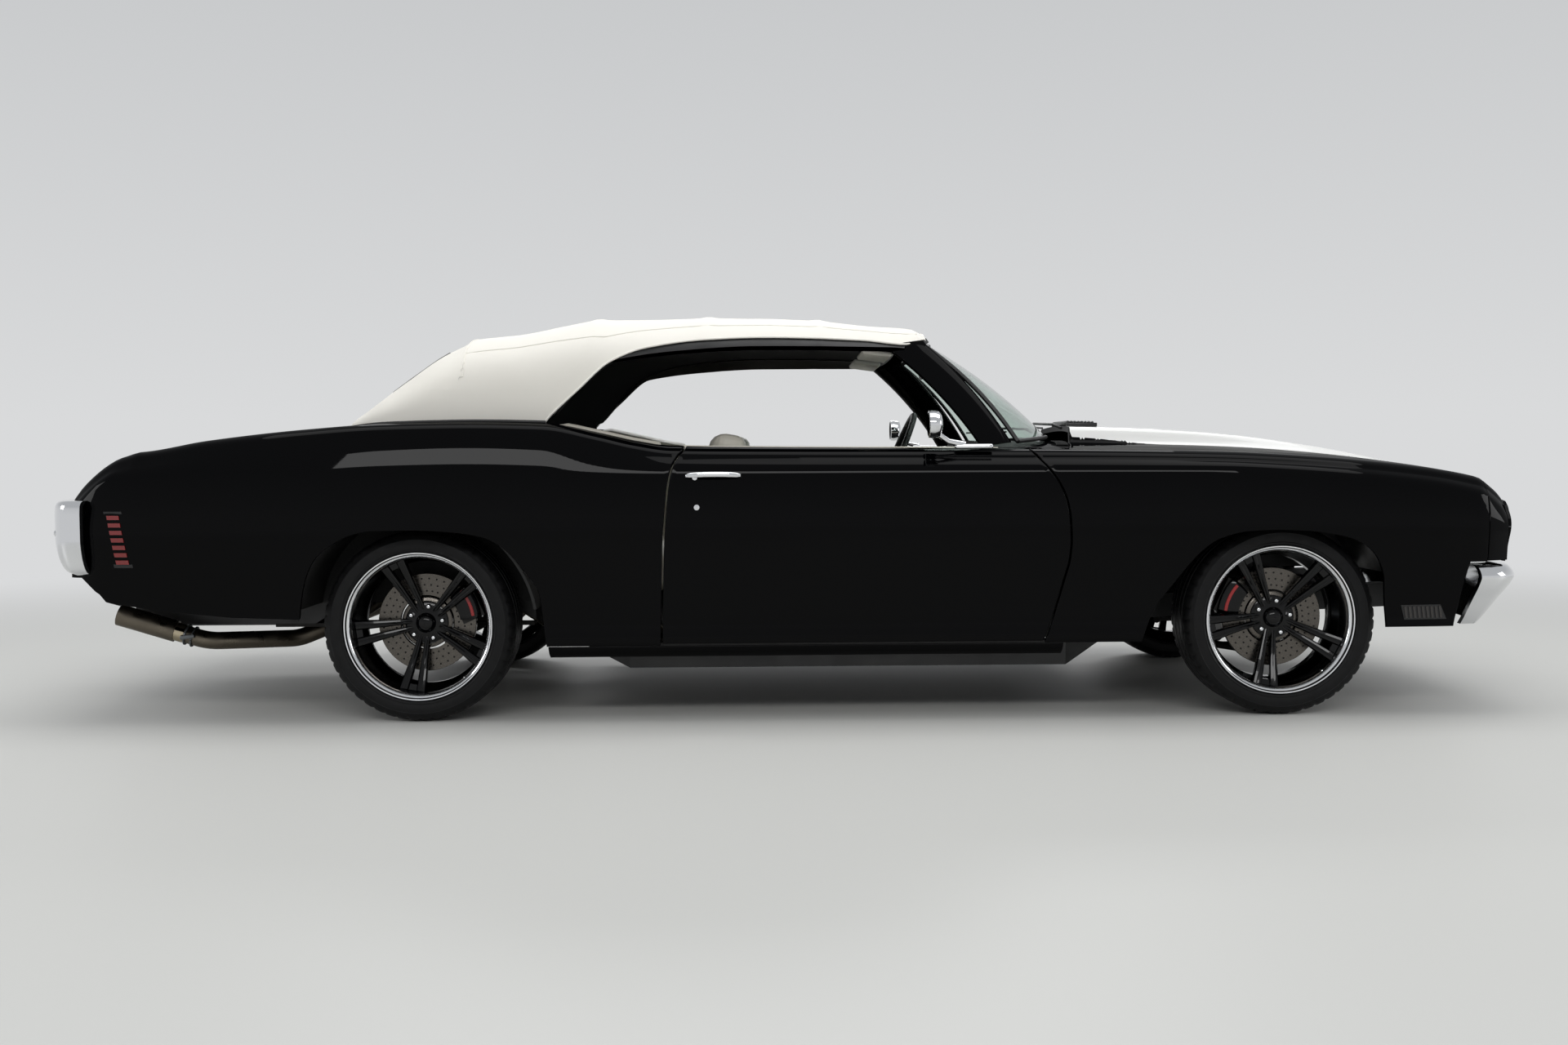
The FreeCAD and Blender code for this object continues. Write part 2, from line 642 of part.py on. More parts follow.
def make_tub(cowl):
    """Floor, tunnel, firewall, cowl and rear wheelhouses, welded as one."""
    wall = s.floor_wall
    inner = s.frame_half_width + s.rail_width
    floor_line = [
        (along(0.742), high(0.93)), (along(0.742), high(0.47)), (along(0.69), s.floor_height),
        (along(0.29), s.floor_height), (along(0.26), high(0.44)), (along(0.13), high(0.47)),
        (along(0.09), high(0.62)), (along(-0.10), high(0.62)), (along(-0.16), high(0.50)),
        (along(-0.39), high(0.50)),
    ]
    under_line = [(x, z - wall) for x, z in floor_line[2:]]
    front_line = [(x + wall, z) for x, z in floor_line[:2]]
    turn = (along(0.69) + wall, s.floor_height - wall)
    sheet_outline = floor_line + under_line[::-1][:-1] + [turn] + front_line[::-1]
    floor = side_prism(sheet_outline, -inner, inner)
    floor = floor.common(body_inside)
    hole = block(along(0.30), along(0.76), -s.tunnel_half_width, s.tunnel_half_width, 0, s.tunnel_height)
    rise = block(along(0.29), along(0.742) + wall, -s.tunnel_half_width - wall, s.tunnel_half_width + wall,
                 s.floor_height - wall, s.tunnel_height + wall)
    shaft_way = block(along(0.22), along(0.325), -s.shaft_radius * 2, s.shaft_radius * 2, 0, high(0.435))
    tub = floor.cut(hole).fuse(rise.cut(hole)).cut(shaft_way)
    house = wheel_axis_cylinder(s.wheelhouse_radius + wall, rear_axle, s.wheel_height, -outside, -s.wheelhouse_inner + wall)
    house = house.common(body_inside).common(block(-half_length, half_length, -outside, 0, high(0.42), above))
    well = wheel_axis_cylinder(s.wheelhouse_radius, rear_axle, s.wheel_height, -outside, -s.wheelhouse_inner)
    well = well.fuse(block(rear_axle - s.wheelhouse_radius, rear_axle + s.wheelhouse_radius, -outside,
                           -s.wheelhouse_inner, 0, s.wheel_height))
    tub = tub.fuse(house).fuse(other_side(house))
    tub = tub.cut(well).cut(other_side(well))
    sill = make_rockers()
    tub = tub.fuse(sill).fuse(other_side(sill)).fuse(cowl)
    shelf_top = high(0.93)
    shelf_half = s.hood_hinge_half_width - s.hinge_tab_width - s.shut_gap * 3
    shelf = block(along(0.742), along(0.79), -shelf_half, shelf_half, high(0.80), shelf_top).common(body_inside)
    pillar = block(along(0.668), along(0.742), -s.pillar_outer, -s.pillar_inner, s.floor_height - wall,
                   s.belt_height - s.seat_gap)
    pillar = pillar.cut(block(along(0.695), along(0.75), -outside, 0, high(0.96), above))
    hinge = block(along(0.668), along(0.672), -half_width + s.door_wall + s.seat_gap, -s.pillar_inner,
                  high(0.42), high(0.80))
    check = hinge.cut(block(along(0.66), along(0.68), -outside, 0, high(0.52), high(0.70)))
    carriers = [pillar.fuse(check), other_side(pillar.fuse(check)), shelf]
    tub = keep_largest(tub.multiFuse(carriers))
    publish("body_tub", tub)


def make_inner_fenders():
    wall = s.floor_wall
    radius = s.wheelhouse_radius + wall
    outer_y = wide(0.90)
    house = wheel_axis_cylinder(radius + wall, front_axle, s.wheel_height, -outer_y, -s.front_house_inner + wall)
    well = wheel_axis_cylinder(radius, front_axle, s.wheel_height, -outside, -s.front_house_inner)
    house = house.cut(well).cut(block(-half_length, half_length, -outside, 0, 0, high(0.52)))
    apron_y = s.hood_half_width + s.shut_gap * 3
    apron = block(front_axle - radius * 0.7, front_axle + radius * 0.7, -apron_y - wall, -apron_y,
                  s.wheel_height + radius * 0.6, above)
    apron = apron.cut(well)
    house = house.fuse(apron).common(under_skin)
    publish("inner_fenders", both_sides(keep_largest(house)))


def make_bumper(name, stations, profile_shares, depth, height, low):
    """A wrap-round bumper: one upright section carried along the plan of the end of the car."""
    wires = []
    for x, y, angle in stations:
        turn = math.radians(angle)
        corners = []
        for out, up in profile_shares:
            reach = out * depth
            corners.append(Vector(x + reach * math.cos(turn), y + reach * math.sin(turn), low + up * height))
        wires.append(Part.makePolygon(corners + corners[:1]))
    bar = Part.makeLoft(wires, True, True)
    middle = stations[len(stations) // 2][0]
    inward = 1 if middle < 0 else -1
    start = middle + inward * depth * 0.2
    ends = sorted((start, start + inward * s.overrun * 4))
    bracket = block(ends[0], ends[1], -s.bracket_half_width - s.rail_width, -s.bracket_half_width,
                    low + height * 0.3, low + height * 0.7)
    bracket = bracket.cut(moved(body, -inward * s.seat_gap, 0))
    bar = bar.multiFuse([bracket, other_side(bracket)])
    publish(name, keep_largest(bar))


def make_bumpers():
    front_low = high(0.329)
    front_height = s.bumper_sill_height - s.seat_gap - front_low
    tip = half_length
    front_stations = []
    for x_back, y_share, angle in ((0.282, 0.925, 80), (0.17, 0.905, 62), (0.115, 0.85, 45), (0.085, 0.74, 18),
                                   (0.073, 0.50, 5), (0.07, 0.0, 0)):
        front_stations.append((tip - x_back * s.front_overhang, -y_share * half_width, -angle))
    front_stations += [(x, -y, -a) for x, y, a in front_stations[-2::-1]]
    bar = ((0.0, 0.0), (-0.55, 0.04), (-0.55, 0.96), (0.1, 1.0), (0.75, 0.93), (1.0, 0.78), (0.85, 0.66), (0.2, 0.05))
    make_bumper("front_bumper", front_stations, bar, s.front_overhang * 0.07, front_height, front_low)

    rear_low = high(0.55)
    rear_height = high(0.829) - rear_low
    rear_stations = []
    for x_back, y_share, angle in ((0.165, 0.955, 85), (0.105, 0.93, 55), (0.07, 0.86, 25), (0.045, 0.60, 6),
                                   (0.03, 0.0, 0)):
        rear_stations.append((-tip + x_back * s.rear_overhang, -y_share * half_width, 180 + angle))
    rear_stations += [(x, -y, -a) for x, y, a in rear_stations[-2::-1]]
    bar = ((0.0, 0.0), (-0.6, 0.05), (-0.6, 0.95), (0.2, 1.0), (0.75, 0.83), (1.0, 0.66), (1.0, 0.42), (0.7, 0.15))
    make_bumper("rear_bumper", rear_stations, bar, s.rear_overhang * 0.03, rear_height, rear_low)


def nose_face(y):
    """X of the nose's outer face at lamp height, at a distance from the centre plane."""
    bulge = 1 - (y / half_width) ** 2 * BOW_FALL_SHARE
    return NOSE_SHARES[5][0] * half_length + NOSE_BOW_SHARE * half_width * bulge * BOW_REACH_SHARE


def make_front_face():
    """Grille bars, headlamps and the panel under the bumper."""
    face_x = nose_face(wide(0.50)) - s.panel_wall * 0.3
    bars = []
    half = wide(0.50) - s.seat_gap
    low = high(0.60) + s.seat_gap
    top = high(0.765) - s.seat_gap
    pitch = (top - low) / 7
    for i in range(7):
        bars.append(block(face_x - pitch, face_x, -half, half, low + i * pitch, low + (i + 0.35) * pitch))
    for i in range(-4, 5):
        y = half * i / 4 * 0.99
        bars.append(block(face_x - pitch * 1.2, face_x - pitch * 0.6, y - pitch * 0.2, y + pitch * 0.2, low, top))
    grille = bars[0].multiFuse(bars[1:])
    publish("grille", grille)

    lamps = []
    for y in (wide(0.585), wide(0.755)):
        radius = high(0.082) - s.seat_gap
        front = nose_face(y) - s.panel_wall * 0.3
        bowl = Part.makeCylinder(radius, high(0.06), Vector(front - high(0.06), -y, high(0.683)), Vector(1, 0, 0))
        lens = Part.makeSphere(radius * 2.2, Vector(front - radius * 1.9, -y, high(0.683)))
        lamps.append(bowl.common(lens))
    publish("headlamps", Part.makeCompound(lamps + [other_side(lamp) for lamp in lamps]))


def make_tail_lamps():
    """Red lenses let into the rear bumper, one each side."""
    back = -half_length + s.rear_overhang * 0.024
    proud = -half_length + s.rear_overhang * 0.006
    gap = s.seat_gap
    lens = block(proud, back - gap, -wide(0.80) + gap, -wide(0.50) - gap, high(0.64) + gap, high(0.72) - gap)
    publish("tail_lamps", both_sides(lens))
    pocket = block(-half_length - s.overrun, back, -wide(0.80), -wide(0.50), high(0.64), high(0.72))
    bumper = made["rear_bumper"]
    bumper.Shape = bumper.Shape.cut(pocket).cut(other_side(pocket))


# Fabric top: (place, value). Places are shares of the top's length from its rear foot to the header.
ROOF_SHARES = ((0.0, 0.733), (0.047, 0.79), (0.12, 0.865), (0.18, 0.912), (0.226, 0.941), (0.31, 0.960),
               (0.44, 0.990), (0.63, 1.0), (0.82, 0.990), (0.975, 0.972), (1.0, 0.955))
ROOF_WIDTH_SHARES = ((0.0, 0.62), (0.047, 0.82), (0.12, 0.93), (0.226, 0.975), (0.44, 1.0), (0.63, 0.99),
                     (0.82, 0.955), (1.0, 0.90))
ROOF_FOOT_SHARES = ((0.0, 0.66), (0.047, 0.88), (0.12, 1.02), (0.226, 1.10), (0.44, 1.13), (1.0, 1.02))
TOP_STATION_SHARES = (0.0, 0.047, 0.12, 0.18, 0.226, 0.31, 0.44, 0.63, 0.82, 0.975, 1.0)
top_rear = along(-0.121)
top_front = along(0.598)


def top_section(place, inset):
    x = top_rear + place * (top_front - top_rear)
    x = x + inset * (1 - 2 * place)
    crown = s.roof_height * follow(ROOF_SHARES, place) - inset
    half = s.top_half_width * follow(ROOF_WIDTH_SHARES, place) - inset
    foot = s.top_half_width * follow(ROOF_FOOT_SHARES, place) - inset
    base = s.top_foot_height - s.overrun * (3 if inset else 2)
    drop = min((crown - s.top_foot_height) * 0.5, s.top_half_width * 0.15)

    def ring(sign):
        return [Vector(x, sign * y, z) for y, z in (
            (foot, base), (half, crown - drop), (half * 0.93, crown - drop * 0.45), (half * 0.80, crown - drop * 0.22))]

    right = ring(-1)
    left = ring(1)
    return Part.Wire([
        line(right[0], right[1]),
        smooth_edge(right[1:]),
        Part.Arc(right[3], Vector(x, 0, crown), left[3]).toShape(),
        smooth_edge(left[:0:-1]),
        line(left[1], left[0]),
        line(left[0], right[0]),
    ])


def top_solid(inset):
    return loft([top_section(place, inset) for place in TOP_STATION_SHARES])


FABRIC_EDGE_SHARES = ((-0.812, 0.989), (-0.695, 1.100), (-0.594, 1.190), (-0.474, 1.237), (-0.290, 1.263),
                      (-0.086, 1.271), (0.263, 1.261), (0.405, 1.247), (0.56, 1.232))
RAIL_EDGE_SHARES = ((-0.625, 0.973), (-0.491, 1.125), (-0.290, 1.158), (-0.087, 1.171), (0.275, 1.172), (0.56, 1.15))


def make_top():
    """Fabric, the black side rails under its edge, and the rear window."""
    unit = s.roof_height / 1.372
    fabric_line = [(x * unit, z * unit) for x, z in FABRIC_EDGE_SHARES]
    rail_line = [(x * unit, z * unit) for x, z in RAIL_EDGE_SHARES]
    outer = top_solid(0)
    fabric = outer.cut(top_solid(s.top_wall))
    low = s.top_foot_height - s.overrun * 3
    under_fabric = side_prism(
        fabric_line + [(fabric_line[-1][0], low), (along(0.02), low), (fabric_line[0][0] + s.overrun, high(1.06))],
        -outside, outside)
    window = block(top_rear - s.overrun, along(0.02), -wide(0.47), wide(0.47), s.roof_height * 0.80, s.roof_height * 0.90)
    cover = keep_largest(fabric.cut(under_fabric).cut(window).cut(body_raised))
    publish("soft_top", cover)

    rail_rear = fabric_line[0][0] + s.overrun
    rail_top = [(max(x, rail_rear), z - s.seat_gap) for x, z in fabric_line]
    rail = outer.cut(top_solid(s.top_wall * 1.4)).common(side_prism(
        [(rail_rear, high(1.06) - s.overrun)] + rail_top + rail_line[::-1]
        + [(rail_line[0][0], high(1.06) - s.overrun)], -outside, 0))
    rail = rail.cut(block(along(0.545), half_length, -outside, outside, 0, above)).cut(body_raised)
    publish("top_side_rails", both_sides(keep_largest(rail)))

    pane = outer.cut(top_solid(s.glass_wall)).common(
        block(top_rear - s.overrun, along(0.02), -wide(0.47) + s.seat_gap, wide(0.47) - s.seat_gap,
              s.roof_height * 0.80 + s.seat_gap, s.roof_height * 0.90 - s.seat_gap))
    publish("rear_window", keep_largest(pane))


def make_windshield():
    base_side = Vector(along(0.695), -wide(0.765), high(1.02))
    base_mid = Vector(along(0.765), 0, high(1.045))
    top_side = Vector(along(0.598), -wide(0.60), s.roof_height * 0.884)
    top_mid = Vector(along(0.617), 0, s.roof_height * 0.915)

    def pane(side, mid, back):
        other = Vector(side.x, -side.y, side.z)
        shift = Vector(mid.x - side.x, 0, mid.z - side.z).normalize() * -back
        return Part.Wire([
            Part.Arc(side, mid, other).toShape(), line(other, other + shift),
            Part.Arc(other + shift, mid + shift, side + shift).toShape(), line(side + shift, side),
        ])

    glass = Part.makeLoft([pane(base_side, base_mid, s.glass_wall), pane(top_side, top_mid, s.glass_wall)], True, True)
    publish("windshield_glass", glass)

    def pillar_ring(x, y, z, length, width):
        return Part.makePolygon([Vector(x, y, z), Vector(x + length, y, z), Vector(x + length, y + width, z),
                                 Vector(x, y + width, z), Vector(x, y, z)])

    post = Part.makeLoft([
        pillar_ring(along(0.648), -wide(0.81), s.belt_height, wide(0.13), wide(0.04)),
        pillar_ring(along(0.552), -wide(0.665), s.roof_height * 0.88, wide(0.125), wide(0.04)),
    ], True)
    header_side = Vector(along(0.555), -wide(0.665), s.roof_height * 0.88)
    header_mid = Vector(along(0.575), 0, s.roof_height * 0.911)

    def header_ring(rise):
        lift = Vector(0, 0, rise)
        return pane(header_side + Vector(wide(0.13), 0, 0) + lift, header_mid + Vector(wide(0.13), 0, 0) + lift,
                    wide(0.13))

    header = Part.makeLoft([header_ring(0), header_ring(s.roof_height * 0.0175)], True, True)
    seat = Part.makeLoft([header_ring(0), header_ring(s.roof_height * 0.05)], True, True)
    header = header.fuse(seat.common(top_solid(s.top_wall + s.seat_gap)))
    frame = header.fuse(post).fuse(other_side(post))
    frame = frame.cut(moved(glass, -s.seat_gap, 0)).cut(moved(glass, s.seat_gap, 0)).cut(glass)
    publish("windshield_frame", keep_largest(frame))


def make_seats():
    corner = s.cushion_height * 0.25
    for side, name in ((-1, "seat_right"), (1, "seat_left")):
        y0 = side * s.seat_centre - s.seat_width / 2
        base = block(along(0.385), along(0.55), y0, y0 + s.seat_width, 0, s.cushion_height)
        base = base.makeFillet(corner, base.Edges)
        base.translate(Vector(0, 0, s.floor_height + s.cushion_height * 0.62))
        back = block(0, s.cushion_height * 0.85, y0, y0 + s.seat_width, 0, s.seat_width)
        back = back.makeFillet(corner, back.Edges)
        back.rotate(Vector(0, 0, 0), Vector(0, 1, 0), -14)
        back.translate(Vector(along(0.37), 0, s.floor_height + s.cushion_height * 0.95))
        head = block(0, s.cushion_height * 0.6, y0 + s.seat_width * 0.25, y0 + s.seat_width * 0.75, 0,
                     s.cushion_height)
        head = head.makeFillet(corner * 0.9, head.Edges)
        head.rotate(Vector(0, 0, 0), Vector(0, 1, 0), -14)
        head.translate(Vector(along(0.337), 0, s.floor_height + s.cushion_height * 0.95 + s.seat_width * 0.9))
        rails = []
        for share in (0.2, 0.75):
            y = y0 + s.seat_width * share
            rails.append(block(along(0.40), along(0.53), y, y + s.seat_width * 0.05, s.floor_height,
                               s.floor_height + s.cushion_height * 0.75))
        seat = base.multiFuse([back, head] + rails)
        publish(name, keep_largest(seat))

    half = s.wheelhouse_inner - s.floor_wall - s.shut_gap
    base = block(along(0.14), along(0.285), -half, half, high(0.438), high(0.60))
    back = block(along(0.105), along(0.155), -half, half, high(0.60), high(0.96))
    bench = base.fuse(back).removeSplitter().cut(moved(made["body_tub"].Shape, 0, s.seat_gap))
    publish("rear_seat", max(bench.Solids, key=lambda solid: solid.BoundBox.ZMax))


def make_dashboard():
    half = s.pillar_inner - s.seat_gap
    pad = side_prism([
        (along(0.740) - s.seat_gap, high(0.95)), (along(0.66), high(0.97)), (along(0.635), high(0.93)),
        (along(0.645), high(0.78)), (along(0.69), high(0.72)), (along(0.740) - s.seat_gap, high(0.72))], -half, half)
    publish("dashboard", pad.common(body_inside))

    wheel = doc.addObject("Part::Torus", "steering_rim")
    wheel.setExpression("Radius1", "sizes.steering_radius")
    wheel.setExpression("Radius2", "sizes.steering_rim_radius")
    doc.recompute()
    rim = wheel.Shape.copy()
    doc.removeObject(wheel.Name)
    hub = Part.makeCylinder(s.steering_radius * 0.22, s.steering_radius * 0.25, Vector(0, 0, -s.steering_radius * 0.25))
    spokes = [rod(Vector(0, 0, -s.steering_rim_radius), Vector(math.cos(a), math.sin(a), 0) * s.steering_radius,
                  s.steering_rim_radius * 0.8) for a in (math.radians(90), math.radians(210), math.radians(330))]
    column = rod(Vector(0, 0, -s.steering_radius * 1.2), Vector(0, 0, -s.steering_radius * 0.1), s.steering_radius * 0.12)
    piece = rim.multiFuse(spokes + [hub, column])
    piece.rotate(Vector(0, 0, 0), Vector(0, 1, 0), -67)
    piece.translate(Vector(along(0.585), s.seat_centre, high(0.95)))
    piece = piece.cut(made["dashboard"].Shape)
    publish("steering_wheel", keep_largest(piece))


def make_frame():
    """Perimeter frame: two side rails with kick-ups, joined by cross members."""
    half_depth = s.rail_depth / 2
    mid = s.frame_height + half_depth - s.rail_depth / 2
    route = [
        Vector(along(1.18), -s.front_rail_half_width, high(0.40)),
        Vector(along(0.86), -s.front_rail_half_width, high(0.36)),
        Vector(along(0.76), -s.frame_half_width, mid),
        Vector(along(0.24), -s.frame_half_width, mid),
        Vector(along(0.12), -s.rear_rail_half_width, high(0.39)),
        Vector(along(0.06), -s.rear_rail_half_width, high(0.50)),
        Vector(along(-0.09), -s.rear_rail_half_width, high(0.50)),
        Vector(along(-0.15), -s.rear_rail_half_width, high(0.38)),
        Vector(along(-0.37), -s.rear_rail_half_width, high(0.38)),
    ]
    w = s.rail_width / 2
    runs = []
    for start, end in zip(route, route[1:]):
        section = Part.makePolygon([start + Vector(0, y, z) for y, z in (
            (-w, -half_depth), (w, -half_depth), (w, half_depth), (-w, half_depth), (-w, -half_depth))])
        runs.append(Part.Face(section).extrude(end - start))
    rail = runs[0].multiFuse(runs[1:])
    pieces = [rail, other_side(rail)]
    floor_under = s.floor_height - s.floor_wall - s.seat_gap - half_depth * 0.4
    for place, half, z in ((1.15, s.front_rail_half_width, high(0.395)), (1.0, s.front_rail_half_width, high(0.25)),
                           (0.66, s.frame_half_width, floor_under), (0.30, s.frame_half_width, floor_under),
                           (0.125, s.rear_rail_half_width, high(0.4355)), (-0.36, s.rear_rail_half_width, high(0.38))):
        pieces.append(block(along(place) - w, along(place) + w, -half, half, z - half_depth * 0.4, z + half_depth * 0.4))
    hanger = block(along(1.0) - w, along(1.0) + w, -s.front_rail_half_width - w, -s.front_rail_half_width + w,
                   high(0.25) - half_depth * 0.4, high(0.38))
    frame = pieces[0].multiFuse(pieces[1:] + [hanger, other_side(hanger)])
    publish("chassis_frame", keep_largest(frame))


def make_drivetrain():
    """Engine as one plain block with its gearbox, and the rear axle with its shaft."""
    x0 = along(0.80)
    engine = block(x0, x0 + s.engine_length, -s.engine_width / 2, s.engine_width / 2, high(0.335),
                   high(0.335) + s.engine_height)
    gearbox = Part.makeCone(s.engine_width * 0.25, s.engine_width * 0.17, s.wheelbase * 0.26,
                            Vector(x0, 0, high(0.42)), Vector(-1, 0, 0))
    member_top = high(0.25) + s.rail_depth * 0.2 + s.seat_gap
    mount = block(along(0.99), along(1.01), -s.engine_mount_half_width - s.leaf_width, -s.engine_mount_half_width,
                  member_top, high(0.335) + s.leaf_depth)
    publish("engine_and_gearbox", keep_largest(engine.multiFuse([gearbox, mount, other_side(mount)])))

    hub_back = s.wheel_half_track + s.rim_width / 2 - s.rear_dish - s.hub_wall
    tube_end = hub_back - s.disc_wall - s.shut_gap
    axle = wheel_axis_cylinder(s.axle_tube_radius, rear_axle, s.wheel_height, -tube_end, tube_end)
    stub = wheel_axis_cylinder(s.hub_bore - s.bore_clearance, rear_axle, s.wheel_height,
                               -hub_back - s.hub_wall * 0.7, hub_back + s.hub_wall * 0.7)
    centre = Part.makeSphere(s.differential_radius, Vector(rear_axle, 0, s.wheel_height))
    shaft = rod(Vector(rear_axle, 0, s.wheel_height), Vector(x0 - s.wheelbase * 0.262, 0, high(0.42)), s.shaft_radius)
    leaf_top = high(0.38) - s.rail_depth / 2 - s.seat_gap
    leaf = block(along(-0.20), along(0.118), -s.rear_rail_half_width - s.leaf_width / 2,
                 -s.rear_rail_half_width + s.leaf_width / 2, leaf_top - s.leaf_depth, leaf_top)
    axle = axle.multiFuse([stub, centre, shaft, leaf, other_side(leaf)])
    for side in (-1, 1):
        axle = axle.fuse(caliper(rear_axle, side, hub_back, 25))
    publish("rear_axle", keep_largest(axle))


def caliper(axle_x, side, hub_back, angle):
    """Brake caliper astride the disc, with the arm that carries it."""
    disc_outer = hub_back
    disc_inner = hub_back - s.disc_wall
    y0 = disc_inner - s.caliper_gap - s.caliper_wall
    y1 = disc_outer + s.caliper_gap + s.caliper_wall * 0.38
    body_block = block(s.disc_radius * 0.66, s.disc_radius * 1.13, y0, y1, -s.disc_radius * 0.36, s.disc_radius * 0.36)
    slot = block(0, s.disc_radius + s.caliper_gap, disc_inner - s.caliper_gap, disc_outer + s.caliper_gap,
                 -s.disc_radius, s.disc_radius)
    arm = block(0, s.disc_radius * 0.7, y0, y0 + s.caliper_wall * 0.6, -s.disc_radius * 0.16, s.disc_radius * 0.16)
    piece = body_block.cut(slot).fuse(arm)
    piece.rotate(Vector(0, 0, 0), Vector(0, 1, 0), -angle)
    piece.translate(Vector(axle_x, 0, s.wheel_height))
    return piece if side > 0 else piece.mirror(Vector(0, 0, 0), Vector(0, 1, 0))


def make_front_suspension():
    """Control arms and coil spring seats, both sides, fixed at ride height."""
    inner = s.front_rail_half_width + s.rail_width / 2
    pin = s.kingpin_half_track
    low_z = s.wheel_height - s.rim_radius * 0.52
    high_z = s.wheel_height + s.rim_radius * 0.52
    pieces = []
    for z in (low_z, high_z):
        for reach in (-1, 1):
            foot = Vector(front_axle + reach * s.rim_radius * 0.5, -inner - s.seat_gap, z)
            end = Vector(front_axle, -pin, z)
            pieces.append(rod(foot, end, s.arm_wall / 2))
        stud = Part.makeCylinder(s.ball_radius, s.arm_wall * 2, Vector(front_axle, -pin, z - s.arm_wall))
        pieces.append(stud)
    spring_y = inner + s.spring_radius + s.seat_gap
    pieces.append(Part.makeCylinder(s.spring_radius, high_z - low_z, Vector(front_axle, -spring_y, low_z)))
    half = s.rim_radius * 0.42
    for z in (low_z, high_z):
        pieces.append(block(front_axle - half, front_axle + half, -spring_y - s.arm_wall, -spring_y + s.arm_wall,
                            z - s.arm_wall * 0.3, z + s.arm_wall * 0.3))
    arms = keep_largest(pieces[0].multiFuse(pieces[1:]))
    publish("front_suspension", both_sides(arms))


def make_knuckles():
    hub_back = s.wheel_half_track + s.rim_width / 2 - s.front_dish - s.hub_wall
    pin = s.kingpin_half_track
    low_z = s.wheel_height - s.rim_radius * 0.52
    high_z = s.wheel_height + s.rim_radius * 0.52
    foot = s.arm_wall + s.seat_gap
    post = Part.makeCylinder(s.knuckle_radius, high_z - low_z - foot * 2, Vector(front_axle, -pin, low_z + foot))
    spindle = wheel_axis_cylinder(s.hub_bore - s.bore_clearance, front_axle, s.wheel_height,
                                  -hub_back - s.hub_wall * 0.7, -pin)
    knuckle = post.fuse(spindle)
    knuckle = knuckle.fuse(caliper(front_axle, -1, hub_back, 155))
    knuckle = keep_largest(knuckle)
    publish("knuckle_right", knuckle)
    publish("knuckle_left", other_side(knuckle))


def make_exhaust():
    x_tip = along(-0.375)
    pipes = []
    run = -s.exhaust_half_width
    route = [
        Vector(along(0.80), -s.engine_width * 0.60, high(0.33)),
        Vector(along(0.72), run, high(0.20)),
        Vector(along(0.30), run, high(0.20)),
        Vector(along(0.13), run, high(0.29)),
        Vector(along(0.03), run, high(0.50)),
        Vector(along(-0.06), run * 1.2, high(0.47)),
        Vector(along(-0.12), run * 1.55, high(0.34)),
        Vector(along(-0.18), run * 1.80, high(0.265)),
        Vector(along(-0.27), -s.tip_half_width * 0.98, high(0.28)),
        Vector(x_tip, -s.tip_half_width, high(0.385)),
    ]
    pipe = bent_tube(route, s.exhaust_radius, s.exhaust_radius * 4)
    muffler = Part.makeCylinder(s.muffler_radius, s.wheelbase * 0.17,
                                Vector(along(0.42), run, high(0.20)), Vector(1, 0, 0))
    tip = Part.makeCylinder(s.tip_radius, s.wheelbase * 0.07, route[-1], (route[-2] - route[-1]).normalize())
    bore = Part.makeCylinder(s.exhaust_radius * 0.85, s.wheelbase * 0.05, route[-1],
                             (route[-2] - route[-1]).normalize())
    hangers = []
    under_member = s.floor_height - s.floor_wall - s.seat_gap * 2 - s.rail_depth * 0.4
    for place in (0.66, 0.30):
        hangers.append(block(along(place) - s.hanger_wall, along(place) + s.hanger_wall, run - s.hanger_wall,
                             run + s.hanger_wall, high(0.20), under_member))
    pipe = pipe.multiFuse([muffler, tip] + hangers).cut(bore)
    publish("exhaust_system", both_sides(keep_largest(pipe)))


def make_tank():
    x0 = along(-0.345)
    x1 = along(-0.165)
    top = high(0.50) - s.floor_wall - s.seat_gap
    tank = block(x0, x1, -s.rear_rail_half_width * 0.72, s.rear_rail_half_width * 0.72, top - s.tank_depth, top)
    tank = tank.makeFillet(s.tank_depth * 0.2, tank.Edges)
    publish("fuel_tank", tank)


def plane_of(owner, role):
    return next(f for f in owner.Origin.OriginFeatures if f.Role == role)


def closed_outline(sketch, points):
    """Straight-sided closed outline in a sketch."""
    for a, b in zip(points, points[1:] + points[:1]):
        sketch.addGeometry(Part.LineSegment(Vector(*a, 0), Vector(*b, 0)), False)


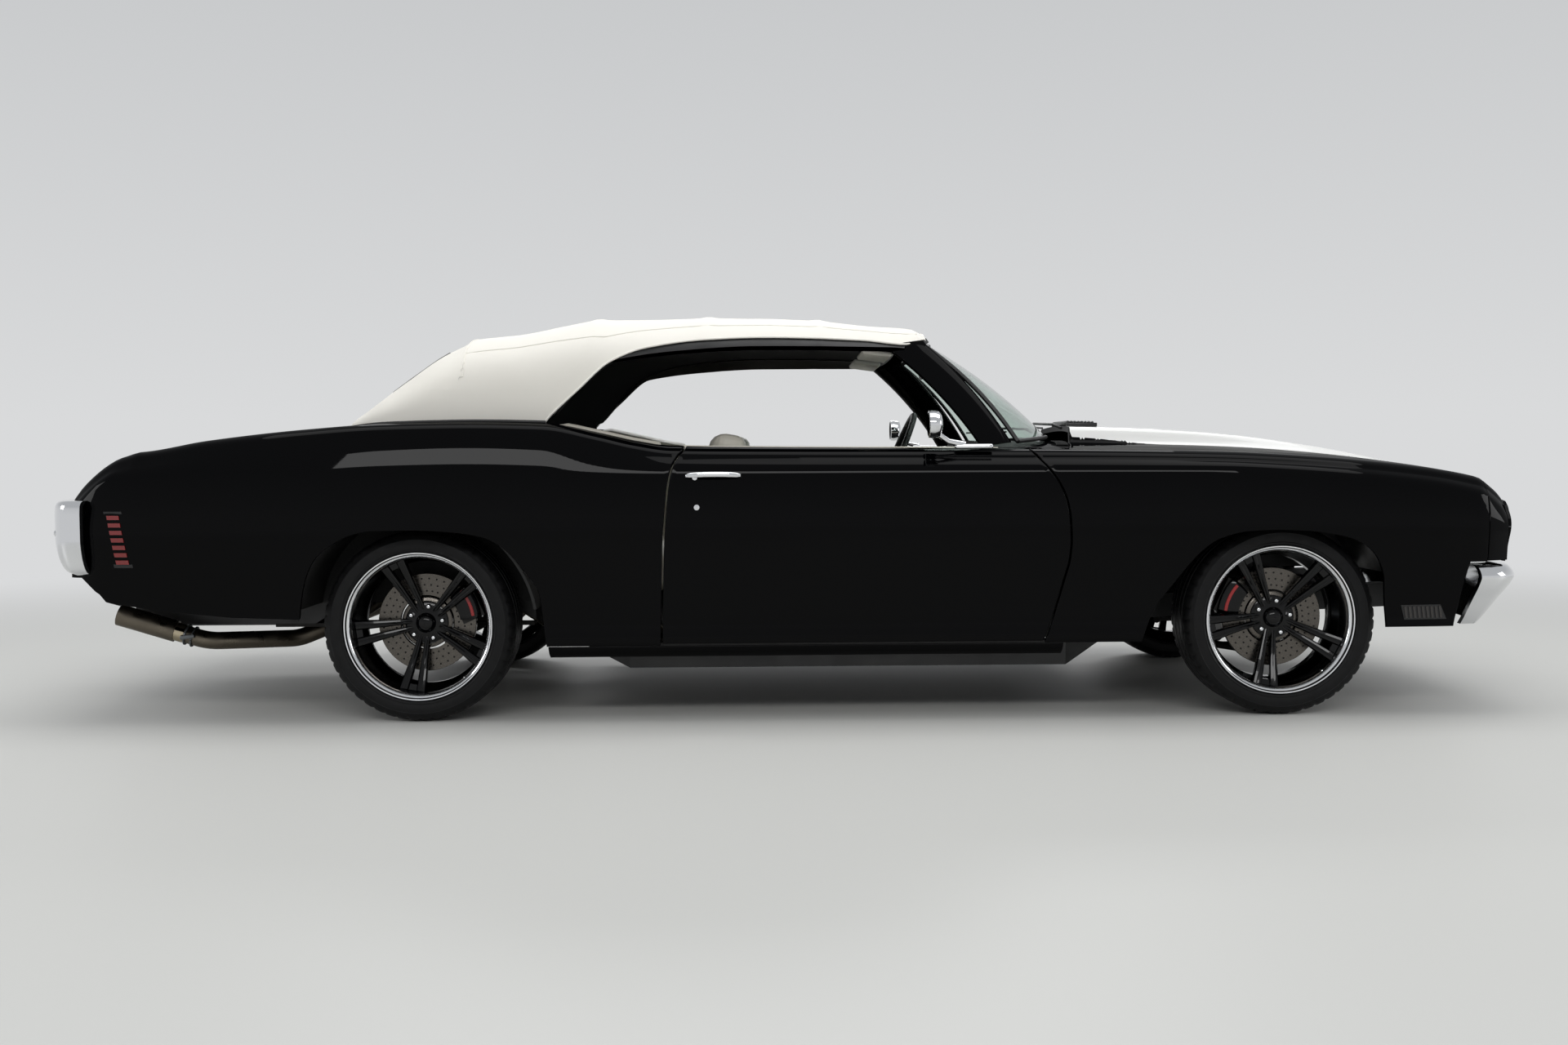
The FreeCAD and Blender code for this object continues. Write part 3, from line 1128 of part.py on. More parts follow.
def make_wheel(name, x, side, dish):
    """Alloy wheel: rim, hub with five pairs of twin spokes, and the brake disc on its hub."""
    wheel = doc.addObject("PartDesign::Body", name)
    wheel.Label = name
    width = s.rim_width
    r = s.rim_radius
    wall = s.rim_wall
    face = width - dish
    sketch = wheel.newObject("Sketcher::SketchObject", name + "_rim_profile")
    sketch.AttachmentSupport = (plane_of(wheel, "XZ_Plane"), [""])
    sketch.MapMode = "FlatFace"
    closed_outline(sketch, [
        (r, 0), (r, wall), (r * 0.93, wall * 2), (r * 0.915, width * 0.25), (r * 0.85, width * 0.36),
        (r * 0.85, width * 0.62), (r * 0.915, width * 0.74), (r * 0.93, width - wall * 2), (r, width - wall),
        (r, width), (r - wall, width), (r * 0.93 - wall, width - wall * 3), (r * 0.915 - wall, width * 0.745),
        (r * 0.85 - wall, width * 0.625), (r * 0.85 - wall, width * 0.355), (r * 0.915 - wall, width * 0.245),
        (r * 0.93 - wall, wall * 3), (r - wall, 0)])
    rim = wheel.newObject("PartDesign::Revolution", name + "_rim")
    rim.Profile = sketch
    rim.ReferenceAxis = (sketch, ["V_Axis"])
    rim.Angle = 360
    doc.recompute()

    spoke_in = face - s.hub_wall
    for sign in (-1, 1):
        outline = wheel.newObject("Sketcher::SketchObject", name + ("_spoke_a" if sign < 0 else "_spoke_b"))
        outline.AttachmentSupport = (plane_of(wheel, "XZ_Plane"), [""])
        outline.MapMode = "FlatFace"
        outline.AttachmentOffset = Placement(Vector(0, 0, sign * s.spoke_pitch / 2), Rotation())
        foot_top = width - wall * 6
        closed_outline(outline, [
            (s.hub_radius * 0.5, face), (s.hub_radius, face), (r * 0.6, face + dish * 0.22), (r * 0.90, foot_top),
            (r * 0.90, foot_top - s.spoke_depth * 1.6), (r * 0.6, face + dish * 0.22 - s.spoke_depth * 0.75),
            (s.hub_radius, spoke_in + s.hub_wall * 0.65), (s.hub_radius * 0.5, spoke_in + s.hub_wall * 0.65)])
        spoke = wheel.newObject("PartDesign::Pad", outline.Name + "_bar")
        spoke.Profile = outline
        spoke.Length = s.spoke_width
        spoke.Midplane = True
        doc.recompute()
    pads = [o for o in wheel.Group if o.TypeId == "PartDesign::Pad"]
    pattern = wheel.newObject("PartDesign::PolarPattern", name + "_spokes")
    pattern.Originals = pads
    pattern.Axis = (sketch, ["V_Axis"])
    pattern.Angle = 360
    pattern.Occurrences = 5
    wheel.Tip = pattern
    doc.recompute()

    hub_profile = wheel.newObject("Sketcher::SketchObject", name + "_hub_profile")
    hub_profile.AttachmentSupport = (plane_of(wheel, "XZ_Plane"), [""])
    hub_profile.MapMode = "FlatFace"
    disc_out = spoke_in
    disc_in = spoke_in - s.disc_wall
    closed_outline(hub_profile, [
        (0, face + s.hub_wall * 0.5), (s.cap_radius, face + s.hub_wall * 0.35), (s.cap_radius, face),
        (s.hub_radius, face), (s.hub_radius, disc_out), (s.disc_radius, disc_out), (s.disc_radius, disc_in),
        (s.disc_hat_radius * 0.8, disc_in), (s.disc_hat_radius * 0.8, disc_out - s.disc_wall * 0.3),
        (s.hub_bore, disc_out - s.disc_wall * 0.3), (s.hub_bore, face - s.hub_wall * 0.2),
        (0, face - s.hub_wall * 0.2)])
    hub = wheel.newObject("PartDesign::Revolution", name + "_hub")
    hub.Profile = hub_profile
    hub.ReferenceAxis = (hub_profile, ["V_Axis"])
    hub.Angle = 360
    wheel.Tip = hub
    doc.recompute()
    place_wheel(wheel, x, side, width)
    made[name] = wheel


def place_wheel(piece, x, side, width):
    """Stand a wheel or tyre, drawn with its axis upright, at its hub."""
    turn = Rotation(Vector(1, 0, 0), -90 * side)
    y = side * (s.wheel_half_track - width / 2)
    piece.Placement = Placement(Vector(x, y, s.wheel_height), turn)
    doc.recompute()


def make_tyre(name, x, side):
    tyre = doc.addObject("PartDesign::Body", name)
    tyre.Label = name
    width = s.tyre_width
    r0 = s.rim_radius
    r1 = s.tyre_radius
    bead = s.rim_width
    lead = (width - bead) / 2
    sketch = tyre.newObject("Sketcher::SketchObject", name + "_profile")
    sketch.AttachmentSupport = (plane_of(tyre, "XZ_Plane"), [""])
    sketch.MapMode = "FlatFace"
    gap = s.seat_gap
    closed_outline(sketch, [
        (r0 + gap, lead), (r0 + (r1 - r0) * 0.45, 0), (r0 + (r1 - r0) * 0.80, width * 0.03), (r1, width * 0.10),
        (r1, width * 0.90), (r0 + (r1 - r0) * 0.80, width * 0.97), (r0 + (r1 - r0) * 0.45, width),
        (r0 + gap, width - lead), (r0 + gap, width - lead - s.rim_wall * 0.5),
        (r0 + gap, lead + s.rim_wall * 0.5)])
    turn = tyre.newObject("PartDesign::Revolution", name + "_carcass")
    turn.Profile = sketch
    turn.ReferenceAxis = (sketch, ["V_Axis"])
    turn.Angle = 360
    doc.recompute()
    place_wheel(tyre, x, side, width)
    made[name] = tyre


def make_wheels():
    for end, x, dish in (("front", front_axle, s.front_dish), ("rear", rear_axle, s.rear_dish)):
        for side, hand in ((-1, "right"), (1, "left")):
            make_wheel("wheel_%s_%s" % (end, hand), x, side, dish)
            make_tyre("tyre_%s_%s" % (end, hand), x, side)


cowl_panel = make_front_body()
make_rear_body()
make_doors()
make_tub(cowl_panel)
make_inner_fenders()
make_bumpers()
make_front_face()
make_tail_lamps()
make_top()
make_windshield()
make_seats()
make_dashboard()
make_frame()
make_drivetrain()
make_front_suspension()
make_knuckles()
make_exhaust()
make_tank()
make_wheels()

doc.recompute()
for item in doc.Objects:
    if "Invalid" in item.State or "Error" in item.State:
        raise RuntimeError("%s did not build: %s" % (item.Label, item.State))
os.makedirs("parts", exist_ok=True)
bad = [name for name, item in made.items() if item.Shape.isNull() or not item.Shape.isValid() or not item.Shape.Solids]
if bad:
    raise RuntimeError("No valid solid: " + ", ".join(bad))
for name, item in made.items():
    item.Shape.exportStep("parts/%s.step" % name)
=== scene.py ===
import math

import bmesh
import bpy
import numpy as np
from mathutils import Matrix, Vector, geometry


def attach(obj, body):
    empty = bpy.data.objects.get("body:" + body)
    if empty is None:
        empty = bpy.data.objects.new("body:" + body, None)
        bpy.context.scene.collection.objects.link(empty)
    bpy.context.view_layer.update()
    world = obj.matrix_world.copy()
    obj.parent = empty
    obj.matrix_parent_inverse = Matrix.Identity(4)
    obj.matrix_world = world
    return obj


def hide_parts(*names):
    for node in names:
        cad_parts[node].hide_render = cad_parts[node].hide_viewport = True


# Looks of a two-door convertible muscle car. Metres, in the row frame:
# +X to the nose, +Y to the car's left, +Z up.

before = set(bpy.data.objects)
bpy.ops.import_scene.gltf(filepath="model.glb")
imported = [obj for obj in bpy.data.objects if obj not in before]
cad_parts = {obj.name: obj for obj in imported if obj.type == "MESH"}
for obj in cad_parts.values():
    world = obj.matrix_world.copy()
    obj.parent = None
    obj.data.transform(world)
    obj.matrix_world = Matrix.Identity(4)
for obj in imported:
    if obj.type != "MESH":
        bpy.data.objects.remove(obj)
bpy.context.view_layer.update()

HALF_LENGTH = 2.5045
HALF_WIDTH = 0.9575
BELT_HEIGHT = 0.893
WHEELBASE = 2.845
REAR_AXLE = -1.2255
FRONT_AXLE = 1.6195
WHEEL_HEIGHT = 0.317
SHUT_GAP = 0.006
PANEL_WALL = 0.012
NUDGE = 0.002  # step that slopes of a surface are measured over
POINT = 0.0001  # radius where a turned piece closes


def along(share):
    """Place along the car, in wheelbases from the rear axle."""
    return REAR_AXLE + share * WHEELBASE


def high(share):
    """Height as a share of the belt's."""
    return share * BELT_HEIGHT


def follow(table, place):
    """Value at a place on a smooth line through (place, value) points."""
    if place <= table[0][0]:
        return table[0][1]
    if place >= table[-1][0]:
        return table[-1][1]
    i = max(k for k in range(len(table) - 1) if table[k][0] <= place)
    slopes = [(b[1] - a[1]) / (b[0] - a[0]) for a, b in zip(table, table[1:])]

    def tangent(k):
        """Slope at a point that keeps the line from overshooting."""
        if k == 0:
            return slopes[0]
        if k == len(slopes):
            return slopes[-1]
        if slopes[k - 1] * slopes[k] <= 0:
            return 0
        return 2 * slopes[k - 1] * slopes[k] / (slopes[k - 1] + slopes[k])

    step = table[i + 1][0] - table[i][0]
    f = (place - table[i][0]) / step
    return (table[i][1] * (2 * f**3 - 3 * f**2 + 1) + table[i + 1][1] * (3 * f**2 - 2 * f**3)
            + tangent(i) * step * (f**3 - 2 * f**2 + f) + tangent(i + 1) * step * (f**3 - f**2))


def ramp(value):
    """Smooth step from 0 to 1."""
    value = min(max(value, 0), 1)
    return value * value * (3 - 2 * value)


def circle(count):
    """Cosine and sine at even steps round a circle."""
    return [(math.cos(2 * math.pi * k / count), math.sin(2 * math.pi * k / count)) for k in range(count)]


# Materials.
COAT_ROUGHNESS = 0.02
NOISE_LOW, NOISE_TOP = 0.3, 0.7  # nearly all of a noise texture's values lie between these
WAVE_REPEAT = 2 / 6.2832  # scale at which a wave texture has a band about every metre


def linear(code):
    """Linear colour of an sRGB hex code."""
    parts = [int(code[i:i + 2], 16) / 255 for i in (0, 2, 4)]
    return tuple(c / 12.92 if c <= 0.04045 else ((c + 0.055) / 1.055) ** 2.4 for c in parts) + (1,)


def add(tree, kind, links=(), **values):
    """Add a node, set its inputs and properties by name, and link (input, source socket) pairs."""
    made = tree.nodes.new(kind)
    for key, value in values.items():
        socket = made.inputs.get(key.replace("_", " "))
        if socket is not None:
            socket.default_value = value
        else:
            setattr(made, key, value)
    for key, source in links:
        tree.links.new(source, made.inputs[key])
    return made


def material(name, code, roughness, metallic=0, coat=0, bump=None, blotch=None, **extra):
    """A surface: base colour and gloss, with a fine bump (size, height) and a patchy roughness (size, low,
    top). Sizes and heights are in millimetres."""
    made = bpy.data.materials.new(name)
    made.use_nodes = True
    tree = made.node_tree
    shader = tree.nodes["Principled BSDF"]
    shader.inputs["Base Color"].default_value = linear(code)
    shader.inputs["Roughness"].default_value = roughness
    shader.inputs["Metallic"].default_value = metallic
    shader.inputs["Coat Weight"].default_value = coat
    shader.inputs["Coat Roughness"].default_value = COAT_ROUGHNESS
    for key, value in extra.items():
        shader.inputs[key.replace("_", " ")].default_value = value
    place = add(tree, "ShaderNodeTexCoord")
    if bump:
        size, height = bump
        grain = add(tree, "ShaderNodeTexNoise", [("Vector", place.outputs["Object"])], Scale=1000 / size,
                    Detail=2.0)
        relief = add(tree, "ShaderNodeBump", [("Height", grain.outputs["Fac"])], Strength=1.0,
                     Distance=height / 1000)
        tree.links.new(relief.outputs["Normal"], shader.inputs["Normal"])
    if blotch:
        size, low, top = blotch
        cloud = add(tree, "ShaderNodeTexNoise", [("Vector", place.outputs["Object"])], Scale=1000 / size,
                    Detail=3.0)
        spread = add(tree, "ShaderNodeMapRange", [("Value", cloud.outputs["Fac"])], From_Min=NOISE_LOW,
                     From_Max=NOISE_TOP, To_Min=low, To_Max=top)
        tree.links.new(spread.outputs["Result"], shader.inputs["Roughness"])
    return made


def woven(name, code, shade, thread, height, roughness):
    """Woven cloth: two crossed sets of threads, with their width and height in millimetres, and a soft change
    of colour from code to shade."""
    made = material(name, code, roughness)
    tree = made.node_tree
    shader = tree.nodes["Principled BSDF"]
    place = add(tree, "ShaderNodeTexCoord")
    sets = []
    for direction in ("X", "Z"):
        wave = add(tree, "ShaderNodeTexWave", [("Vector", place.outputs["Object"])],
                   Scale=1000 / thread * WAVE_REPEAT, Distortion=0.6, Detail=1.0, bands_direction=direction)
        sets.append(wave.outputs["Fac"])
    cross = add(tree, "ShaderNodeMath", [(0, sets[0]), (1, sets[1])], operation="ADD")
    relief = add(tree, "ShaderNodeBump", [("Height", cross.outputs["Value"])], Strength=0.6,
                 Distance=height / 1000)
    tree.links.new(relief.outputs["Normal"], shader.inputs["Normal"])
    cloud = add(tree, "ShaderNodeTexNoise", [("Vector", place.outputs["Object"])], Scale=4.0, Detail=5.0)
    mix = add(tree, "ShaderNodeMix", [("Factor", cloud.outputs["Fac"])], data_type="RGBA")
    mix.inputs["A"].default_value = linear(code)
    mix.inputs["B"].default_value = linear(shade)
    tree.links.new(mix.outputs["Result"], shader.inputs["Base Color"])
    return made


# Black enamel under polished clear coat: almost black, with thin clear streaks of the lamps.
BLACK_PAINT = material("gloss_black_paint", "020203", 0.16, coat=0.18, bump=(5, 0.0006),
                       blotch=(300, 0.12, 0.2), Specular_IOR_Level=0.0)
# White enamel under clear coat: a clean bright stripe with a soft shine.
WHITE_PAINT = material("gloss_white_paint", "F1F1EE", 0.22, coat=0.8, bump=(4, 0.0008))
# Sprayed satin black on frame rails and trim: dark, with broad dull highlights.
SATIN_BLACK = material("satin_black_paint", "0C0C0D", 0.38, bump=(1.5, 0.01), blotch=(80, 0.32, 0.46))
# Sprayed bitumen undercoat: pebbled and matt, so the underside stays quiet.
UNDERCOAT = material("black_undercoat", "0B0B0B", 0.7, bump=(6, 0.3))
# Chromium plate on polished steel: a mirror of the pale room, slightly uneven from buffing.
CHROME = material("bright_chrome", "E0E1E3", 0.08, metallic=1.0, blotch=(120, 0.05, 0.11))
# Turned and polished aluminium alloy: the wide bright ring round each wheel.
POLISHED = material("polished_alloy", "E8E9EB", 0.14, metallic=1.0, blotch=(40, 0.12, 0.18))
# Powder coat with clear over cast alloy: spokes that show only as edges of light.
SPOKE_BLACK = material("gloss_black_spoke", "040405", 0.14, coat=0.35, Specular_IOR_Level=0.1)
# Moulded tyre rubber, dressed: deep black, a little shinier in patches.
RUBBER = material("tyre_rubber", "0D0D0E", 0.5, bump=(2.5, 0.05), blotch=(30, 0.44, 0.62),
                  Specular_IOR_Level=0.2)
# Extruded rubber: soft dark lines round glass and cloth.
SEAL = material("black_rubber_seal", "0A0A0A", 0.5, bump=(2, 0.03))
# Coated twill of the top. Its real thread of 0.8 mm is drawn twice as coarse so that the weave shows.
CANVAS = woven("white_top_cloth", "F0EDE5", "E8E5DC", 1.6, 0.12, 0.72)
# Woven lining under the bows: a matt dark ceiling.
LINING = woven("dark_top_lining", "2A2A2C", "222224", 1.2, 0.08, 0.85)
# Float glass with a green tint. A low IOR stands for a pane whose two faces cancel each other's bending.
GLASS = material("clear_tinted_glass", "DDEBE4", 0.0, Transmission_Weight=1.0, IOR=1.18)
# Pressed clear glass: bright rims and dark centres over the lamp bowls.
LENS = material("clear_lamp_lens", "F4F6F6", 0.02, Transmission_Weight=1.0, IOR=1.3)
# Moulded red acrylic: deep red with a wet shine.
RED_LENS = material("red_lens", "7A080A", 0.12, coat=0.6)
# Moulded amber acrylic, unlit: almost brown-black, as in the photo.
AMBER_LENS = material("dark_amber_lens", "120904", 0.16, coat=0.6)
# Baked enamel on the caliper: a small spot of strong red.
RED_ENAMEL = material("red_enamel", "A30C10", 0.3, coat=0.4)
# Grained upholstery vinyl: warm off-white with a soft sheen.
VINYL = material("light_vinyl", "D8D3C6", 0.42, bump=(1.8, 0.12), blotch=(60, 0.36, 0.5))
# Moulded ABS with a leather grain: dull black.
PLASTIC = material("grained_black_plastic", "101011", 0.5, bump=(1.6, 0.1))
# Sand-cast iron: rough dark metal under the car and behind the wheels.
IRON = material("cast_iron", "2B2A29", 0.55, metallic=0.7, bump=(3, 0.2), blotch=(50, 0.45, 0.7))
# Turned brake steel: warm grey with fine changes of gloss where the pads rub.
DISC_STEEL = material("machined_disc_steel", "5E5A55", 0.34, metallic=1.0, blotch=(9, 0.2, 0.36))
# Heat-tinted stainless tube: brownish metal along the exhaust.
PIPE_STEEL = material("warm_exhaust_steel", "6E675C", 0.34, metallic=1.0, blotch=(60, 0.2, 0.5))
# Plated exhaust tip, yellowed by heat: brighter than the pipe.
TIP_STEEL = material("brassy_chrome_tip", "B8AC94", 0.12, metallic=1.0, blotch=(60, 0.06, 0.16))
# Hot-dip zinc: cool grey with patches of dull and shiny.
TANK_STEEL = material("galvanised_tank", "6E7173", 0.42, metallic=0.9, blotch=(25, 0.3, 0.55))
# Painted shade: plain matt black that stands for the unlit depth behind slots, drillings and the hood vent.
PAINTED_SHADE_BLACK = material("painted_shade_recess", "030303", 0.9)
# Smoked clear coat over polished alloy: the dim mirror inside each rim.
DARK_BARREL = material("smoked_polished_barrel", "3C3E41", 0.14, metallic=1.0, blotch=(60, 0.1, 0.2))

NODE_LOOKS = {
    "body_tub": UNDERCOAT, "chassis_frame": SATIN_BLACK, "dashboard": PLASTIC, "engine_and_gearbox": IRON,
    "exhaust_system": PIPE_STEEL, "front_suspension": IRON, "fuel_tank": TANK_STEEL, "grille": PLASTIC,
    "inner_fenders": SATIN_BLACK, "knuckle_left": IRON, "knuckle_right": IRON, "rear_axle": IRON,
    "steering_wheel": PLASTIC, "tail_lamps": RED_LENS, "tail_panel": BLACK_PAINT, "rear_window": GLASS,
    "rear_seat": VINYL, "headlamps": LENS,
}
for name, look in NODE_LOOKS.items():
    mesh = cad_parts[name].data
    mesh.materials.clear()
    mesh.materials.append(look)


# Making meshes.
def make(name, verts, faces, looks, body, replaces=(), normals=None, face_looks=None, sharp=38):
    """A mesh object of the car, on one body, with its materials. Given normals are kept; without them, edges
    over an angle of sharp degrees are sharp."""
    mesh = bpy.data.meshes.new(name)
    mesh.from_pydata([tuple(v) for v in verts], [], [tuple(f) for f in faces])
    looks = looks if isinstance(looks, (list, tuple)) else [looks]
    for look in looks:
        mesh.materials.append(look)
    if face_looks:
        mesh.polygons.foreach_set("material_index", face_looks)
    if not normals:
        shape = bmesh.new()
        shape.from_mesh(mesh)
        bmesh.ops.recalc_face_normals(shape, faces=shape.faces)
        shape.to_mesh(mesh)
        shape.free()
    mesh.update()
    mesh.polygons.foreach_set("use_smooth", [True] * len(mesh.polygons))
    if normals:
        mesh.normals_split_custom_set_from_vertices([tuple(n) for n in normals])
    else:
        mesh.set_sharp_from_angle(angle=math.radians(sharp))
    made = bpy.data.objects.new(name, mesh)
    bpy.context.scene.collection.objects.link(made)
    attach(made, body)
    if replaces:
        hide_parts(*([replaces] if isinstance(replaces, str) else replaces))
    return made


def merge(parts):
    """Several (verts, faces) as one."""
    verts, faces = [], []
    for v, f in parts:
        start = len(verts)
        verts += list(v)
        faces += [[i + start for i in face] for face in f]
    return verts, faces


def turned(profile, segments, centre, axis="Y"):
    """Surface of revolution about X or Y from (radius, height) points."""
    verts, faces = [], []
    for c, s in circle(segments):
        for r, h in profile:
            point = (r * c, h, r * s) if axis == "Y" else (h, r * c, r * s)
            verts.append(Vector(point) + Vector(centre))
    n = len(profile)
    for k in range(segments):
        m = (k + 1) % segments
        for i in range(n - 1):
            faces.append([k * n + i, k * n + i + 1, m * n + i + 1, m * n + i])
    return verts, faces


def skinned(rings, close_ends=True, closed=True):
    """Faces joining rings of the same number of points."""
    n = len(rings[0])
    verts = [Vector(p) for ring in rings for p in ring]
    faces = []
    for k in range(len(rings) - 1):
        for i in range(n if closed else n - 1):
            j = (i + 1) % n
            faces.append([k * n + i, k * n + j, (k + 1) * n + j, (k + 1) * n + i])
    if close_ends:
        faces.append(list(range(n))[::-1])
        faces.append([(len(rings) - 1) * n + i for i in range(n)])
    return verts, faces


def bevelled(size, radius, segments):
    """A box with rounded edges about the origin, still open to changes."""
    shape = bmesh.new()
    bmesh.ops.create_cube(shape, size=1)
    bmesh.ops.scale(shape, vec=size, verts=shape.verts)
    bmesh.ops.bevel(shape, geom=shape.edges[:], offset=radius, segments=segments, affect="EDGES", profile=0.5)
    return shape


def placed(shape, centre, tilt):
    """The verts and faces of a finished shape, tilted about Y by degrees and moved to its centre."""
    turn = Matrix.Rotation(math.radians(tilt), 4, "Y")
    shape.verts.index_update()
    verts = [turn @ v.co + Vector(centre) for v in shape.verts]
    faces = [[v.index for v in f.verts] for f in shape.faces]
    shape.free()
    return verts, faces


def rounded_box(size, centre, radius, segments=3, tilt=0):
    """A box with rounded edges, tilted about Y by degrees."""
    return placed(bevelled(size, radius, segments), centre, tilt)


def tube(points, radius, sides=12):
    """A round tube along points, with one radius or one for each point."""
    rings = []
    points = [Vector(p) for p in points]
    steep = 0.9
    for i, p in enumerate(points):
        ahead = points[min(i + 1, len(points) - 1)] - points[max(i - 1, 0)]
        ahead.normalize()
        side = ahead.cross(Vector((0, 0, 1) if abs(ahead.z) < steep else (1, 0, 0))).normalized()
        top = side.cross(ahead)
        r = radius[i] if isinstance(radius, (list, tuple)) else radius
        rings.append([p + (side * c + top * s) * r for c, s in circle(sides)])
    return skinned(rings)


def mirrored(points):
    """Points moved to the other side of the car."""
    return [Vector((p[0], -p[1], p[2])) for p in points]


def flipped(part):
    """The same piece on the other side of the car."""
    verts, faces = part
    return mirrored(verts), [list(f)[::-1] for f in faces]


def both(name, part, looks, body, replaces="", **more):
    """A right-hand piece and its mirror image as two objects. A name that ends in _ gets the hand."""
    for hand, piece in (("right", part), ("left", flipped(part))):
        full = [word + hand if word.endswith("_") else word for word in (name, body, replaces)]
        make(full[0], *piece, looks, full[1], replaces=full[2], **more)


def pair(name, part, looks, body, **more):
    """A piece on both sides of the car, as one object."""
    verts, faces = merge([part, flipped(part)])
    return make(name, verts, faces, looks, body, **more)


def divided(a, b, count):
    """Points at even steps from a up to, but without, b."""
    return [(a[0] + (b[0] - a[0]) * k / count, a[1] + (b[1] - a[1]) * k / count) for k in range(count)]


def resample(points, step):
    """Closed polygon with its corners kept and long sides divided."""
    made = []
    for a, b in zip(points, points[1:] + points[:1]):
        length = math.dist(a, b)
        if length < 1e-6:
            continue
        made += divided(a, b, max(1, round(length / step)))
    return made


def outward(loop):
    """Unit outward direction at each point of a closed loop."""
    area = sum(a[0] * b[1] - b[0] * a[1] for a, b in zip(loop, loop[1:] + loop[:1]))
    sign = 1 if area > 0 else -1
    made = []
    for i in range(len(loop)):
        before, after = loop[i - 1], loop[(i + 1) % len(loop)]
        dx, dy = after[0] - before[0], after[1] - before[1]
        size = math.hypot(dx, dy) or 1
        made.append((sign * dy / size, -sign * dx / size))
    return made


def inside(points, loops):
    """Which points lie inside an odd number of the loops."""
    points = np.asarray(points, float)
    result = np.zeros(len(points), bool)
    for loop in loops:
        a = np.asarray(loop, float)
        b = np.roll(a, -1, axis=0)
        for (x0, y0), (x1, y1) in zip(a, b):
            if y0 == y1:
                continue
            crossing = (y0 > points[:, 1]) != (y1 > points[:, 1])
            result ^= crossing & (points[:, 0] < (x1 - x0) * (points[:, 1] - y0) / (y1 - y0) + x0)
    return result


def normal_at(surface, p, q):
    """Unit normal of a surface given by two coordinates."""
    h = NUDGE
    return (surface(p, q + h) - surface(p, q - h)).cross(surface(p + h, q) - surface(p - h, q)).normalized()


RIM = 0.003
EDGE_STEP = 0.009
ROW_SHARE = 0.87  # rows of a net of even triangles, in steps
CREASE_CLEAR, EDGE_CLEAR = 0.62, 0.6  # how near net points may come to a crease or an edge, in steps
RIM_OUT, RIM_DOWN = 0.62, 0.22  # first ring of the rounded rim, in rims
RIM_LEAN, SIDE_LEAN = 0.7, 0.15  # how far the rim's normals lean


def near(points, targets, distance):
    """Which points lie nearer than a distance to any target."""
    result = np.zeros(len(points), bool)
    batch = 400
    for start in range(0, len(targets), batch):
        part = targets[start:start + batch]
        result |= ((points[:, None, :] - part[None, :, :]) ** 2).sum(2).min(1) <= distance ** 2
    return result


